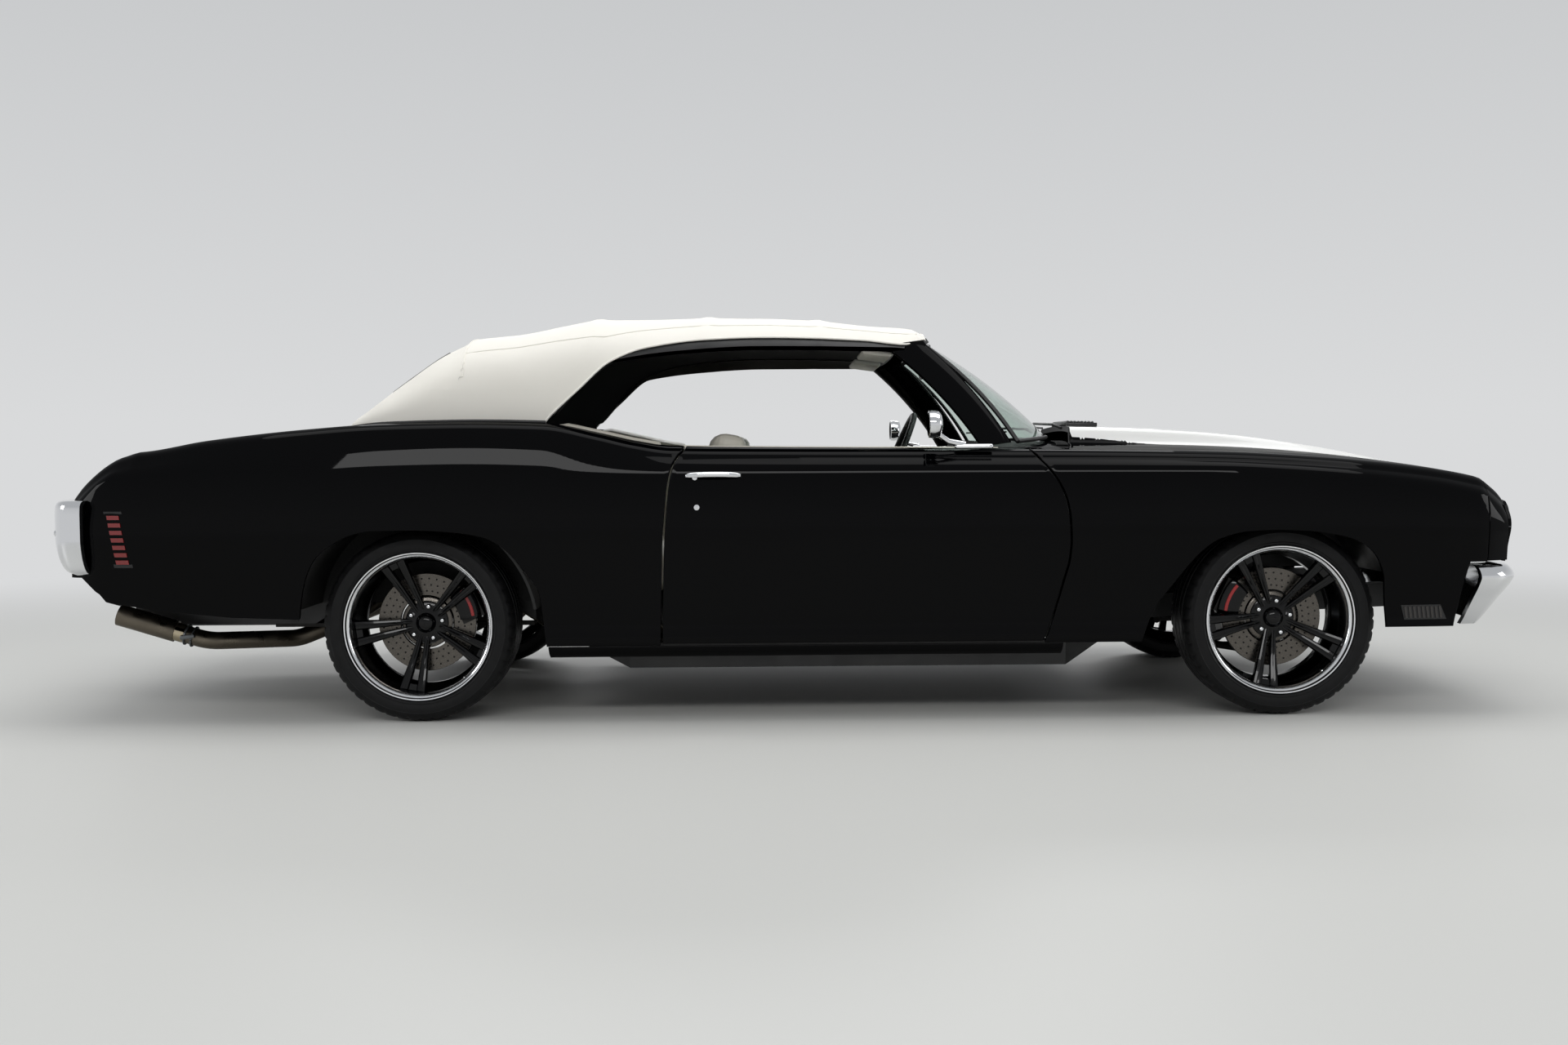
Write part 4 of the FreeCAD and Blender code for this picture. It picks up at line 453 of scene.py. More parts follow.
def panel(surface, outline, holes=(), step=0.02, wall=PANEL_WALL, creases=(), choose=None, turn=1):
    """A sheet panel with a rounded rim: a smooth outer face inside an outline, and an inner face behind it.
    The outline and holes are closed loops in the surface's own two coordinates, and creases are lines there
    that the net of triangles follows. Returns verts, faces, normals and a material number for each face."""
    loops = []
    for number, loop in enumerate([outline] + list(holes)):
        loop = resample(loop, EDGE_STEP)
        sign = -1 if number == 0 else 1
        loops.append([(p[0] + sign * RIM * o[0], p[1] + sign * RIM * o[1])
                      for p, o in zip(loop, outward(loop))])
    points, edges, ring_ids = [], [], []
    for loop in loops:
        start = len(points)
        points += loop
        ring_ids.append(list(range(start, len(points))))
        edges += [(start + k, start + (k + 1) % len(loop)) for k in range(len(loop))]
    boundary = np.array(points)
    lines = []
    for crease in creases:
        for a, b in zip(crease, crease[1:]):
            lines += divided(a, b, max(1, round(math.dist(a, b) / step)))
        lines.append(crease[-1])
    low, top = boundary.min(0), boundary.max(0)
    extra = []
    for number, q in enumerate(np.arange(low[1], top[1], step * ROW_SHARE)):
        shift = step / 2 if number % 2 else 0
        extra += [(p, q) for p in np.arange(low[0] + shift, top[0], step)]
    extra = np.array(extra)
    lines = np.array(lines).reshape(-1, 2)
    extra = np.concatenate([lines, extra[~near(extra, lines, step * CREASE_CLEAR)]])
    keep = inside(extra, loops) & ~near(extra, boundary, EDGE_STEP * EDGE_CLEAR)
    points += [tuple(p) for p in extra[keep]]
    found, _, triangles, origins, _, _ = geometry.delaunay_2d_cdt([Vector(p) for p in points], edges, [], 0,
                                                                  1e-6)
    place = {}
    for number, names in enumerate(origins):
        for n in names:
            place[n] = number
    centres = [sum((found[i] for i in t), Vector((0, 0))) / 3 for t in triangles]
    good = inside([tuple(c) for c in centres], loops)
    triangles = [list(t) for t, ok in zip(triangles, good) if ok]
    centres = [c for c, ok in zip(centres, good) if ok]
    outer = [surface(p, q) for p, q in found]
    normals = [normal_at(surface, p, q) * turn for p, q in found]
    a, b, c = triangles[len(triangles) // 2]
    if (outer[b] - outer[a]).cross(outer[c] - outer[a]).dot(normals[a]) < 0:
        triangles = [f[::-1] for f in triangles]
    looks = [choose(c[0], c[1]) if choose else 0 for c in centres]
    verts = list(outer)
    shading = list(normals)
    faces = list(triangles)
    back = [v - n * wall for v, n in zip(outer, normals)]
    for number, ids in enumerate(ring_ids):
        loop = loops[number]
        outs = outward(loop)
        sign = 1 if number == 0 else -1
        rings = [[], [], []]
        for k, i in enumerate(ids):
            v = place[i]
            p, q = loop[k]
            step_p, step_q = sign * outs[k][0] * NUDGE, sign * outs[k][1] * NUDGE
            ahead = surface(p + step_p, q + step_q) - surface(p, q)
            n = normals[v]
            ahead = (ahead - n * ahead.dot(n)).normalized()
            base = outer[v]
            rings[0].append((base + ahead * RIM * RIM_OUT - n * RIM * RIM_DOWN,
                             (n + ahead * RIM_LEAN).normalized()))
            rings[1].append((base + ahead * RIM - n * RIM, (ahead + n * SIDE_LEAN).normalized()))
            rings[2].append((base + ahead * RIM - n * wall, ahead))
            back[v] = base + ahead * RIM - n * wall
        starts = []
        for ring in rings:
            starts.append(len(verts))
            verts += [p for p, n in ring]
            shading += [n for p, n in ring]
        strips = [[place[i] for i in ids]] + [[s + k for k in range(len(ids))] for s in starts]
        count = len(ids)
        test = [strips[1][0], strips[1][1], strips[2][1], strips[2][0]]
        face_normal = (verts[test[1]] - verts[test[0]]).cross(verts[test[3]] - verts[test[0]])
        reverse = face_normal.dot(shading[strips[2][0]]) < 0
        for a, b in zip(strips, strips[1:]):
            for k in range(count):
                m = (k + 1) % count
                face = [a[k], a[m], b[m], b[k]]
                faces.append(face[::-1] if reverse else face)
                looks.append(0)
    start = len(verts)
    verts += back
    shading += [-n for n in normals]
    for face in triangles:
        faces.append([i + start for i in face[::-1]])
        looks.append(0)
    return verts, faces, shading, looks


def panel_piece(name, part, looks, body, **more):
    """A panel as one object, with the normals and materials that it came with."""
    verts, faces, shading, face_looks = part
    return make(name, verts, faces, looks, body, normals=shading, face_looks=face_looks, **more)


def both_panels(name, part, looks, bodies, replaces):
    """A right-hand panel and its mirror image on the left."""
    verts, faces, shading, face_looks = part
    other = flipped((verts, faces)) + (mirrored(shading), face_looks)
    for hand, piece, body, node in zip(("right", "left"), (part, other), bodies, replaces):
        panel_piece(name + "_" + hand, piece, looks, body, replaces=node)


# Body surface. Lines along the car are (place, height) with the place in half lengths and the height in
# belts. SHOULDER_LINE has shares of the half width instead, and LOW_SIDE is (height, offset) in metres.
BELT_LINE = (
    (-1.0, 0.985), (-0.85, 1.008), (-0.765, 1.047), (-0.633, 1.086), (-0.529, 1.104), (-0.433, 1.1075),
    (-0.322, 1.10), (-0.25, 1.06), (-0.202, 1.028), (-0.154, 1.008), (-0.01, 1.001), (0.32, 0.992),
    (0.57, 0.978), (0.65, 0.966), (0.75, 0.944), (0.845, 0.913), (0.90, 0.884), (1.0, 0.81))
CROWN_LINE = (
    (-1.0, 0.99), (-0.85, 1.010), (-0.765, 1.045), (-0.633, 1.084), (-0.529, 1.104), (-0.32, 1.11),
    (-0.154, 1.06), (0.43, 1.02), (0.57, 1.008), (0.65, 0.998), (0.75, 0.975), (0.845, 0.94), (0.90, 0.91),
    (1.0, 0.85))
SHOULDER_LINE = (
    (-1.0, 0.915), (-0.92, 0.94), (-0.85, 0.963), (-0.765, 0.979), (-0.633, 0.991), (-0.433, 1.0),
    (-0.154, 0.99), (0.15, 0.985), (0.43, 0.989), (0.65, 0.996), (0.75, 0.988), (0.845, 0.968),
    (0.90, 0.948), (1.0, 0.90))
CREASE_LINE = (
    (-1.0, 0.89), (-0.85, 0.925), (-0.765, 0.94), (-0.433, 0.945), (-0.154, 0.93), (0.32, 0.926),
    (0.65, 0.918), (0.845, 0.87), (1.0, 0.765))
TAIL_TOP = ((-0.947, 0.834), (-0.936, 0.871), (-0.916, 0.922), (-0.896, 0.963), (-0.881, 0.985),
            (-0.863, 1.001), (-0.845, 1.03), (-0.80, 1.10))
NOSE_TOP = ((0.86, 0.96), (0.889, 0.91), (0.90, 0.896), (0.916, 0.870), (0.928, 0.845), (0.941, 0.815),
            (0.949, 0.787))
LOW_SIDE = ((0.268, -0.036), (0.324, -0.041), (0.396, -0.038), (0.529, -0.015), (0.589, -0.003))
MID_CREASE = 0.589
SILL_TURN = 0.268
SILL_LOW = 0.21
SILL_BEND = 0.226
SILL_IN, SILL_BEND_IN, SILL_LOW_IN = 0.036, 0.046, 0.096
BELT_IN = 0.0766  # from the shoulder in to the belt's edge
BELT_ROUND = 0.043  # from the belt's edge in to where the top starts to bend
FLAT_IN = 0.1196  # the two together
BELT_OUT, BELT_DROP = 0.020, 0.028  # end of the belt's bend, out of its edge and down
BEND_OUT, BEND_DROP = 0.008, 0.001
CREASE_IN = 0.021
CREASE_BELOW = 0.052
UPPER_SWELL, LOWER_SWELL, LOWER_OUT = 0.010, 0.044, 0.018
TAIL_FALL, TAIL_NARROW, TAIL_NARROW_LONG = -0.80, -0.90, 0.047
NOSE_FALL, NOSE_NARROW, NOSE_NARROW_LONG = 0.86, 0.90, 0.049
END_NARROW = 0.030
TAIL_CROWN, NOSE_CROWN = 0.006, 0.022
# Distances along the section, with no unit: where the belt's bend starts and ends, the crease, the middle
# crease, the sill's turn and the foot.
W = (0.0, 0.84, 0.88, 0.93, 1.17, 1.50, 1.57)
sections = {}


def section(u):
    """Key sizes of the body's cross-section at a place along it."""
    key = round(u, 4)
    if key not in sections:
        place = u / HALF_LENGTH
        belt = high(follow(BELT_LINE, place))
        crown = high(follow(CROWN_LINE, place))
        shoulder = HALF_WIDTH * follow(SHOULDER_LINE, place)
        crease = high(follow(CREASE_LINE, place))
        if place < TAIL_FALL:
            end = high(follow(TAIL_TOP, place))
            belt = min(belt, end)
            crown = min(crown, end + TAIL_CROWN)
            shoulder -= END_NARROW * max(0, (TAIL_NARROW - place) / TAIL_NARROW_LONG) ** 2
        if place > NOSE_FALL:
            end = high(follow(NOSE_TOP, place))
            belt = min(belt, end)
            crown = min(crown, end + NOSE_CROWN)
            shoulder -= END_NARROW * max(0, (place - NOSE_NARROW) / NOSE_NARROW_LONG) ** 2
        crease = min(crease, belt - CREASE_BELOW)
        sections[key] = (belt, crown, shoulder, crease)
    return sections[key]


def bend(a, b, c, f):
    """A share of the way along a curve from a to c that leans towards b."""
    g = 1 - f
    return g * g * a + 2 * g * f * b + f * f * c


def halved(low, top, times, holds):
    """Where a test stops holding between two values, found by halving."""
    for _ in range(times):
        mid = (low + top) / 2
        if holds(mid):
            low = mid
        else:
            top = mid
    return (low + top) / 2


def cross_point(u, w):
    """(y, z) of the body's cross-section, w being a distance along it from the centre plane."""
    belt, crown, shoulder, crease = section(u)
    edge = shoulder - BELT_IN
    top_y = edge - BELT_ROUND
    if w <= W[1]:
        f = w / W[1]
        return f * top_y, crown + (belt - crown) * f * f
    k = max(i for i in range(6) if W[i] <= w)
    f = (w - W[k]) / (W[k + 1] - W[k]) if k < 6 else 1
    if k == 1:
        return (bend(top_y, edge + BEND_OUT, edge + BELT_OUT, f),
                bend(belt, belt - BEND_DROP, belt - BELT_DROP, f))
    if k == 2:
        return (edge + BELT_OUT + f * (shoulder - CREASE_IN - edge - BELT_OUT) + UPPER_SWELL * f * (1 - f),
                belt - BELT_DROP + f * (crease - belt + BELT_DROP))
    if k == 3:
        return (shoulder - CREASE_IN + LOWER_OUT * f + LOWER_SWELL * f * (1 - f),
                crease + f * (MID_CREASE - crease))
    if k == 4:
        z = MID_CREASE + f * (SILL_TURN - MID_CREASE)
        return shoulder + follow(LOW_SIDE, z), z
    return (bend(shoulder - SILL_IN, shoulder - SILL_BEND_IN, shoulder - SILL_LOW_IN, f),
            bend(SILL_TURN, SILL_BEND, SILL_LOW, f))


PLAN_FALL = 1.32  # how fast the ends' bulge dies away towards the sides
PLAN_SIZE = 0.75  # the bulge in half widths, before a share of it is taken
TAIL_BULGE, NOSE_BULGE = 0.09, 0.095
TAIL_ROUND, TAIL_ROUND_LONG = -0.66, 0.26  # where an end starts to bulge and over what, in half lengths
NOSE_ROUND, NOSE_ROUND_LONG = 0.84, 0.10


def end_bulge(y):
    """How far out an end lies at a distance from the middle, before a share is taken."""
    return (1 - (y / HALF_WIDTH) ** 2 * PLAN_FALL) * PLAN_SIZE * HALF_WIDTH


def body_at(u, w):
    """Point of the outer body on the car's right; a negative w is on the left of the centre plane."""
    y, z = cross_point(u, min(abs(w), W[6]))
    y = y if w >= 0 else -y
    place = u / HALF_LENGTH
    bulge = end_bulge(y)
    tail = ramp((TAIL_ROUND - place) / TAIL_ROUND_LONG)
    nose = ramp((place - NOSE_ROUND) / NOSE_ROUND_LONG)
    return Vector((u - TAIL_BULGE * bulge * tail + NOSE_BULGE * bulge * nose, -y, z))


def w_of_z(u, z):
    """Distance along the section to a height on the side."""
    return halved(W[1], W[6], 24, lambda w: cross_point(u, w)[1] > z)


def w_of_y(u, y):
    """Distance along the section to a point of the top."""
    return y / (section(u)[2] - FLAT_IN) * W[1]


def side_line(points):
    """Side-view (x, z) points as (u, w)."""
    return [(x, w_of_z(x, z)) for x, z in points]


def smooth_points(points, count):
    """Even points of a smooth curve through given ones."""
    lengths = [0]
    for a, b in zip(points, points[1:]):
        lengths.append(lengths[-1] + math.dist(a, b))
    xs = [(l, p[0]) for l, p in zip(lengths, points)]
    zs = [(l, p[1]) for l, p in zip(lengths, points)]
    places = [lengths[-1] * k / (count - 1) for k in range(count)]
    return [(follow(xs, l), follow(zs, l)) for l in places]


def top_line(x0, x1, y, count=40):
    """Points at a fixed distance from the centre plane, from one x to another, as (u, w)."""
    return [(x0 + (x1 - x0) * k / count, w_of_y(x0 + (x1 - x0) * k / count, y)) for k in range(count + 1)]


def on_side(x, z, lift=0.0):
    """Point on the right side of the body, lifted off it."""
    w = w_of_z(x, z)
    return body_at(x, w) + normal_at(body_at, x, w) * lift


# Shut lines and arches in side view.
DOOR_REAR = [(along(a), high(b)) for a, b in ((0.311, 1.002), (0.300, 0.954), (0.294, 0.88), (0.2905, 0.77),
                                              (0.288, 0.66), (0.2855, 0.48), (0.284, 0.289))]
DOOR_FRONT = [(along(a), high(b)) for a, b in ((0.7097, 0.988), (0.7250, 0.930), (0.7374, 0.875),
                                               (0.7455, 0.815), (0.7497, 0.746), (0.7512, 0.647),
                                               (0.7497, 0.588), (0.7440, 0.515), (0.7374, 0.436),
                                               (0.728, 0.340), (0.7215, 0.289))]
ARCH_UNIT = 0.319
REAR_ARCH = [(REAR_AXLE + a * ARCH_UNIT, WHEEL_HEIGHT + b * ARCH_UNIT) for a, b in (
    (-1.18, 0.085), (-1.155, 0.28), (-1.10, 0.50), (-0.985, 0.718), (-0.815, 0.856), (-0.60, 0.963),
    (-0.40, 1.0), (0.0, 1.006), (0.47, 0.978), (0.743, 0.925), (0.93, 0.82), (1.13, 0.59), (1.28, 0.34),
    (1.335, -0.10), (1.35, -0.205))]
FRONT_ARCH = [(FRONT_AXLE + a * ARCH_UNIT, WHEEL_HEIGHT + b * ARCH_UNIT) for a, b in (
    (-1.47, -0.205), (-1.44, -0.10), (-1.33, 0.154), (-1.15, 0.40), (-0.985, 0.618), (-0.86, 0.752),
    (-0.695, 0.862), (-0.42, 0.931), (-0.14, 0.943), (0.19, 0.930), (0.44, 0.897), (0.61, 0.859),
    (0.746, 0.80), (0.868, 0.712), (0.953, 0.586), (1.006, 0.433), (1.025, 0.175), (1.044, -0.03),
    (1.045, -0.07))]
DOOR_SILL = 0.258
BODY_SILL = 0.252
HOOD_HALF = 0.742
HOOD_REAR = along(0.765)
HOOD_BOW = along(0.792) - HOOD_REAR
HOOD_FRONT = along(1.258)
NOSE_SEAM = along(1.239)
TAIL_END = -0.946 * HALF_LENGTH
NOSE_END = 0.9485 * HALF_LENGTH
TRUNK_FRONT = along(-0.175)
TRUNK_HALF = 0.650
CABIN_REAR = along(-0.085)
CABIN_HALF = 0.762
DOOR_TOP = 0.772
FENDER_TOP = 0.737
NOSE_FOOT = 0.507
HOOD_CORNER = 0.030  # how far back the hood's front corners lie
# Lines that the side panels' nets follow, closer where the section bends.
SIDE_CREASES = [[(-2.36, w), (2.37, w)] for w in (
    0.80, W[1], 0.847, 0.853, 0.860, 0.867, 0.874, W[2], 0.905, W[3], 0.945, 0.96, W[4], 1.19, W[5], 1.515,
    1.53, 1.545)]
CAR_BODY = ("car_body", "car_body")


def moved(points, distance):
    """Side-view points moved along the car."""
    return [(x + distance, z) for x, z in points]


rear_edge = smooth_points(DOOR_REAR, 60)
front_edge = smooth_points(DOOR_FRONT, 60)
door_outline = (
    top_line(rear_edge[0][0], front_edge[0][0], DOOR_TOP, 60) + side_line(front_edge)
    + side_line([(front_edge[-1][0] - 0.01, DOOR_SILL), (rear_edge[-1][0], DOOR_SILL)])
    + side_line(rear_edge[::-1]))
both_panels("door_skin", panel(body_at, door_outline, creases=SIDE_CREASES), BLACK_PAINT,
            ("door_right", "door_left"), ("door_right", "door_left"))

arch = smooth_points(FRONT_ARCH, 90)
fender_rear = moved(front_edge, SHUT_GAP)
fender_outline = (
    top_line(HOOD_REAR - SHUT_GAP, NOSE_SEAM, HOOD_HALF + SHUT_GAP)
    + side_line([(NOSE_SEAM, 0.70), (NOSE_SEAM, 0.505), (along(1.217), 0.505),
                 (along(1.217) - 0.0536, high(0.329))])
    + side_line(arch[::-1]) + side_line([(fender_rear[-1][0], BODY_SILL)]) + side_line(fender_rear[::-1])
    + top_line(fender_rear[0][0], HOOD_REAR - SHUT_GAP, FENDER_TOP, 10))
both_panels("fender_skin", panel(body_at, fender_outline, creases=SIDE_CREASES), BLACK_PAINT, CAR_BODY,
            ("fender_right", "fender_left"))

arch = smooth_points(REAR_ARCH, 90)
quarter_front = moved(rear_edge, -SHUT_GAP)
LOW_REAR = [(TAIL_END, high(0.545)), (along(-0.389), high(0.545)), (along(-0.373), high(0.494)),
            (along(-0.352), high(0.450)), (along(-0.299), high(0.424)), (along(-0.213), high(0.398)),
            (along(-0.132), high(0.389))]
corner = [(CABIN_REAR - 0.002 + 0.09 * math.sin(a), TRUNK_HALF + SHUT_GAP + 0.106 * (1 - math.cos(a)))
          for a in (math.radians(15 * k) for k in range(7))]
quarter_outline = (
    top_line(TAIL_END, CABIN_REAR - 0.002, TRUNK_HALF + SHUT_GAP) + [(x, w_of_y(x, y)) for x, y in corner]
    + top_line(corner[-1][0], quarter_front[0][0], CABIN_HALF)
    + side_line(quarter_front) + side_line([(quarter_front[-1][0], BODY_SILL), (arch[-1][0], BODY_SILL)])
    + side_line(arch[::-1]) + side_line(LOW_REAR[::-1]))
both_panels("quarter_skin", panel(body_at, quarter_outline, creases=SIDE_CREASES), BLACK_PAINT, CAR_BODY,
            ("quarter_right", "quarter_left"))

sill_outline = side_line([(x, BODY_SILL - 0.001) for x in np.linspace(along(0.153), along(0.745), 40)]) + [
    (x, W[6] - 0.002) for x in np.linspace(along(0.745), along(0.153), 40)]
SKIN_LIFT = Vector((0, -0.0015, 0))
both_panels("rocker_skin", panel(lambda p, q: body_at(p, q) + SKIN_LIFT, sill_outline, wall=0.004),
            BLACK_PAINT, CAR_BODY, ((), ()))


def plan_point(u, y):
    """Top of the body over a point of the plan."""
    return body_at(u, w_of_y(u, abs(y)) * (1 if y > 0 else -1))


def plan_outline(x0, x1, half, corner, count=10):
    """Rounded rectangle in plan."""
    made = []
    for cx, cy, start in ((x1 - corner, half - corner, 0), (x0 + corner, half - corner, 90),
                          (x0 + corner, corner - half, 180), (x1 - corner, corner - half, 270)):
        for k in range(count + 1):
            a = math.radians(start + 90 * k / count)
            made.append((cx + corner * math.cos(a), cy + corner * math.sin(a)))
    return made


# Hood with its dome. Lines along it are (place, size) in metres, and STRIPE_SHARE is in dome half widths.
DOME_REAR = 0.985
DOME_RISE = ((DOME_REAR, 0.060), (1.12, 0.060), (1.353, 0.057), (1.60, 0.047), (1.85, 0.030), (2.05, 0.016),
             (2.26, 0.0))
STRIPE_SHARE = ((0.95, 0.962), (1.10, 0.972), (1.45, 1.022), (2.4, 1.022))
DOME_SLOPE, DOME_SLOPE_LONG, DOME_CROWN = 0.90, 0.115, 0.10  # shares of the dome's half width and rise
DOME_HALF = ((DOME_REAR, 0.352), (1.4, 0.340), (1.9, 0.318), (2.3, 0.300))


def hood_at(u, y):
    """Top of the hood with its raised dome."""
    here = plan_point(u, y)
    rise = follow(DOME_RISE, u) if u >= DOME_REAR else 0
    share = abs(y) / follow(DOME_HALF, u)
    rise *= 1 - ramp((share - DOME_SLOPE) / DOME_SLOPE_LONG)
    here.z += rise * (1 - DOME_CROWN * min(share, 1) ** 2)
    return here


def hood_rear(y):
    """Place of the hood's bowed rear edge."""
    return HOOD_REAR + HOOD_BOW * (1 - (y / HOOD_HALF) ** 2)


hood_outline = []
for k in range(31):
    y = HOOD_HALF - 2 * HOOD_HALF * k / 30
    hood_outline.append((hood_rear(y), y))
for k in range(31):
    y = -HOOD_HALF + 2 * HOOD_HALF * k / 30
    hood_outline.append((HOOD_FRONT - HOOD_CORNER * (y / HOOD_HALF) ** 2, y))


def stripe_half(u):
    """Half width of the white stripe over the dome."""
    return follow(DOME_HALF, u) * follow(STRIPE_SHARE, u)


stripe_edges = [[(u, s * stripe_half(u)) for u in np.linspace(0.9, 2.38, 160)] for s in (-1, 1)]
for share in (0.80, 0.895, 0.915, 0.935, 0.955, 0.98, 1.0, 1.035):
    stripe_edges += [[(u, s * follow(DOME_HALF, u) * share) for u in np.linspace(0.95, 2.30, 120)]
                     for s in (-1, 1)]
HOOD_WALL = 0.020
LID_WALL = 0.022
STRIPE_REAR = HOOD_REAR + HOOD_BOW * 0.9
hood_skin = panel(hood_at, hood_outline, wall=HOOD_WALL, creases=stripe_edges,
                  choose=lambda u, y: 1 if abs(y) < stripe_half(u) and u > STRIPE_REAR else 0)
panel_piece("hood_skin", hood_skin, [BLACK_PAINT, WHITE_PAINT], "hood", replaces="hood")
lid_outline = plan_outline(TAIL_END, TRUNK_FRONT, TRUNK_HALF, 0.04)
panel_piece("trunk_skin", panel(plan_point, lid_outline, wall=LID_WALL), BLACK_PAINT, "trunk_lid",
            replaces="trunk_lid")
deck_outline = plan_outline(TRUNK_FRONT + SHUT_GAP, CABIN_REAR, TRUNK_HALF + SHUT_GAP - 0.001, 0.006, 3)
panel_piece("deck_skin", panel(plan_point, deck_outline), BLACK_PAINT, "car_body", replaces="deck_panel")

# Nose: a wrap-round cap, and a face with the mouth and lamp holes.
hood_side = HOOD_HALF + SHUT_GAP
hood_nose = [(HOOD_FRONT + SHUT_GAP - HOOD_CORNER * (y / HOOD_HALF) ** 2,
              w_of_y(HOOD_FRONT, abs(y)) * (1 if y > 0 else -1))
             for y in np.linspace(-hood_side, hood_side, 30)]
seam = NOSE_SEAM + 0.002
w_side = w_of_z(NOSE_SEAM, NOSE_FOOT)
w_hood = w_of_y(NOSE_SEAM, hood_side)
w_end = w_of_z(NOSE_END, NOSE_FOOT)
cap_outline = ([(seam, w) for w in np.linspace(-w_side, -w_hood, 30)] + hood_nose
               + [(seam, w) for w in np.linspace(w_hood, w_side, 30)]
               + [(NOSE_END, w) for w in np.linspace(w_end, -w_end, 120)])
panel_piece("nose_cap", panel(body_at, cap_outline, creases=[[(2.3, W[3]), (2.37, W[3])]], step=0.015),
            BLACK_PAINT, "car_body", replaces="nose_panel")

NOSE_SLOPE = ((0.49, -0.022), (0.575, -0.012), (0.641, -0.003), (0.70, 0.0))
LAMPS = ((0.56, 0.61), (0.725, 0.61))
LAMP_HOLE = 0.075
MOUTH_HALF, MOUTH_LOW, MOUTH_TOP = 0.465, 0.545, 0.675


def nose_face(y, z):
    """Point of the upright nose face."""
    return Vector((NOSE_END + NOSE_BULGE * end_bulge(y) + follow(NOSE_SLOPE, z), -y, z))


end_loop = [cross_point(NOSE_END, w) for w in np.linspace(0, w_end, 60)]
face_outline = [(y, z - 0.002) for y, z in end_loop] + [(-y, z - 0.002) for y, z in end_loop[::-1]][:-1]
lamp_holes = [[(side * y + LAMP_HOLE * c, z + LAMP_HOLE * s) for c, s in circle(48)]
              for y, z in LAMPS for side in (-1, 1)]
mouth = [(-MOUTH_HALF, MOUTH_LOW), (MOUTH_HALF, MOUTH_LOW), (MOUTH_HALF, MOUTH_TOP), (-MOUTH_HALF, MOUTH_TOP)]
panel_piece("nose_face", panel(nose_face, face_outline, holes=lamp_holes + [mouth], turn=-1), BLACK_PAINT,
            "car_body")


# Wheels, tyres and brakes. A dish is the depth of the hub's face in from the rim's outer edge.
RIM_OUTER = 0.863  # from the car's middle to the rims' outer edges
WHEEL_TRACK = 0.745  # from the car's middle to the tyres' middles
PAIR_ANGLE = -100
PAIR_STEP = 72
HUB_WALL = 0.020
DISC_RADIUS = 0.165
NUT_CIRCLE = 0.056
VALVE_CIRCLE = 0.226


def wheel_point(x, r, angle, depth, sideways=0.0):
    """Point of a right-hand wheel: radius and angle seen from the right, depth from the rim's outer edge."""
    a = math.radians(angle)
    return Vector((x + r * math.cos(a) - sideways * math.sin(a), -(RIM_OUTER - depth),
                   WHEEL_HEIGHT + r * math.sin(a) + sideways * math.cos(a)))


def wheel_ring(x, profile, segments=96):
    """Closed ring turned about the axle from (radius, depth) points."""
    verts, faces = [], []
    n = len(profile)
    for k in range(segments):
        verts += [wheel_point(x, r, 360 * k / segments, d) for r, d in profile]
    for k in range(segments):
        m = (k + 1) % segments
        faces += [[k * n + i, k * n + (i + 1) % n, m * n + (i + 1) % n, m * n + i] for i in range(n)]
    return verts, faces


def knob(x, r, angle, profile, segments=16):
    """A small turned piece on the wheel: (radius, depth) points about its own axis, closed at both ends."""
    centre = wheel_point(x, r, angle, 0)
    return skinned([[centre + Vector((radius * c, depth, radius * s)) for c, s in circle(segments)]
                    for radius, depth in profile])


def rim_parts(x, dish):
    """Polished outer lip, and the dark barrel behind it."""
    lip = wheel_ring(x, [(0.2467, 0.006), (0.2462, 0.002), (0.2440, 0.0), (0.2405, 0.001), (0.2385, 0.005),
                         (0.2370, 0.011), (0.2330, 0.014), (0.2290, 0.018), (0.2262, 0.026), (0.2255, 0.036),
                         (0.2300, 0.040), (0.2440, 0.026), (0.2467, 0.014)], 144)
    barrel = wheel_ring(x, [(0.2255, 0.036), (0.2250, 0.042), (0.2260, dish * 0.6), (0.2205, dish * 0.72),
                            (0.2190, dish + 0.010), (0.2080, dish + 0.030), (0.2080, 0.195), (0.2230, 0.215),
                            (0.2380, 0.228), (0.2440, 0.236), (0.2467, 0.232), (0.2467, 0.226),
                            (0.2390, 0.220), (0.2290, 0.205), (0.2160, 0.190), (0.2160, dish + 0.036),
                            (0.2345, 0.034)], 144)
    return lip, barrel


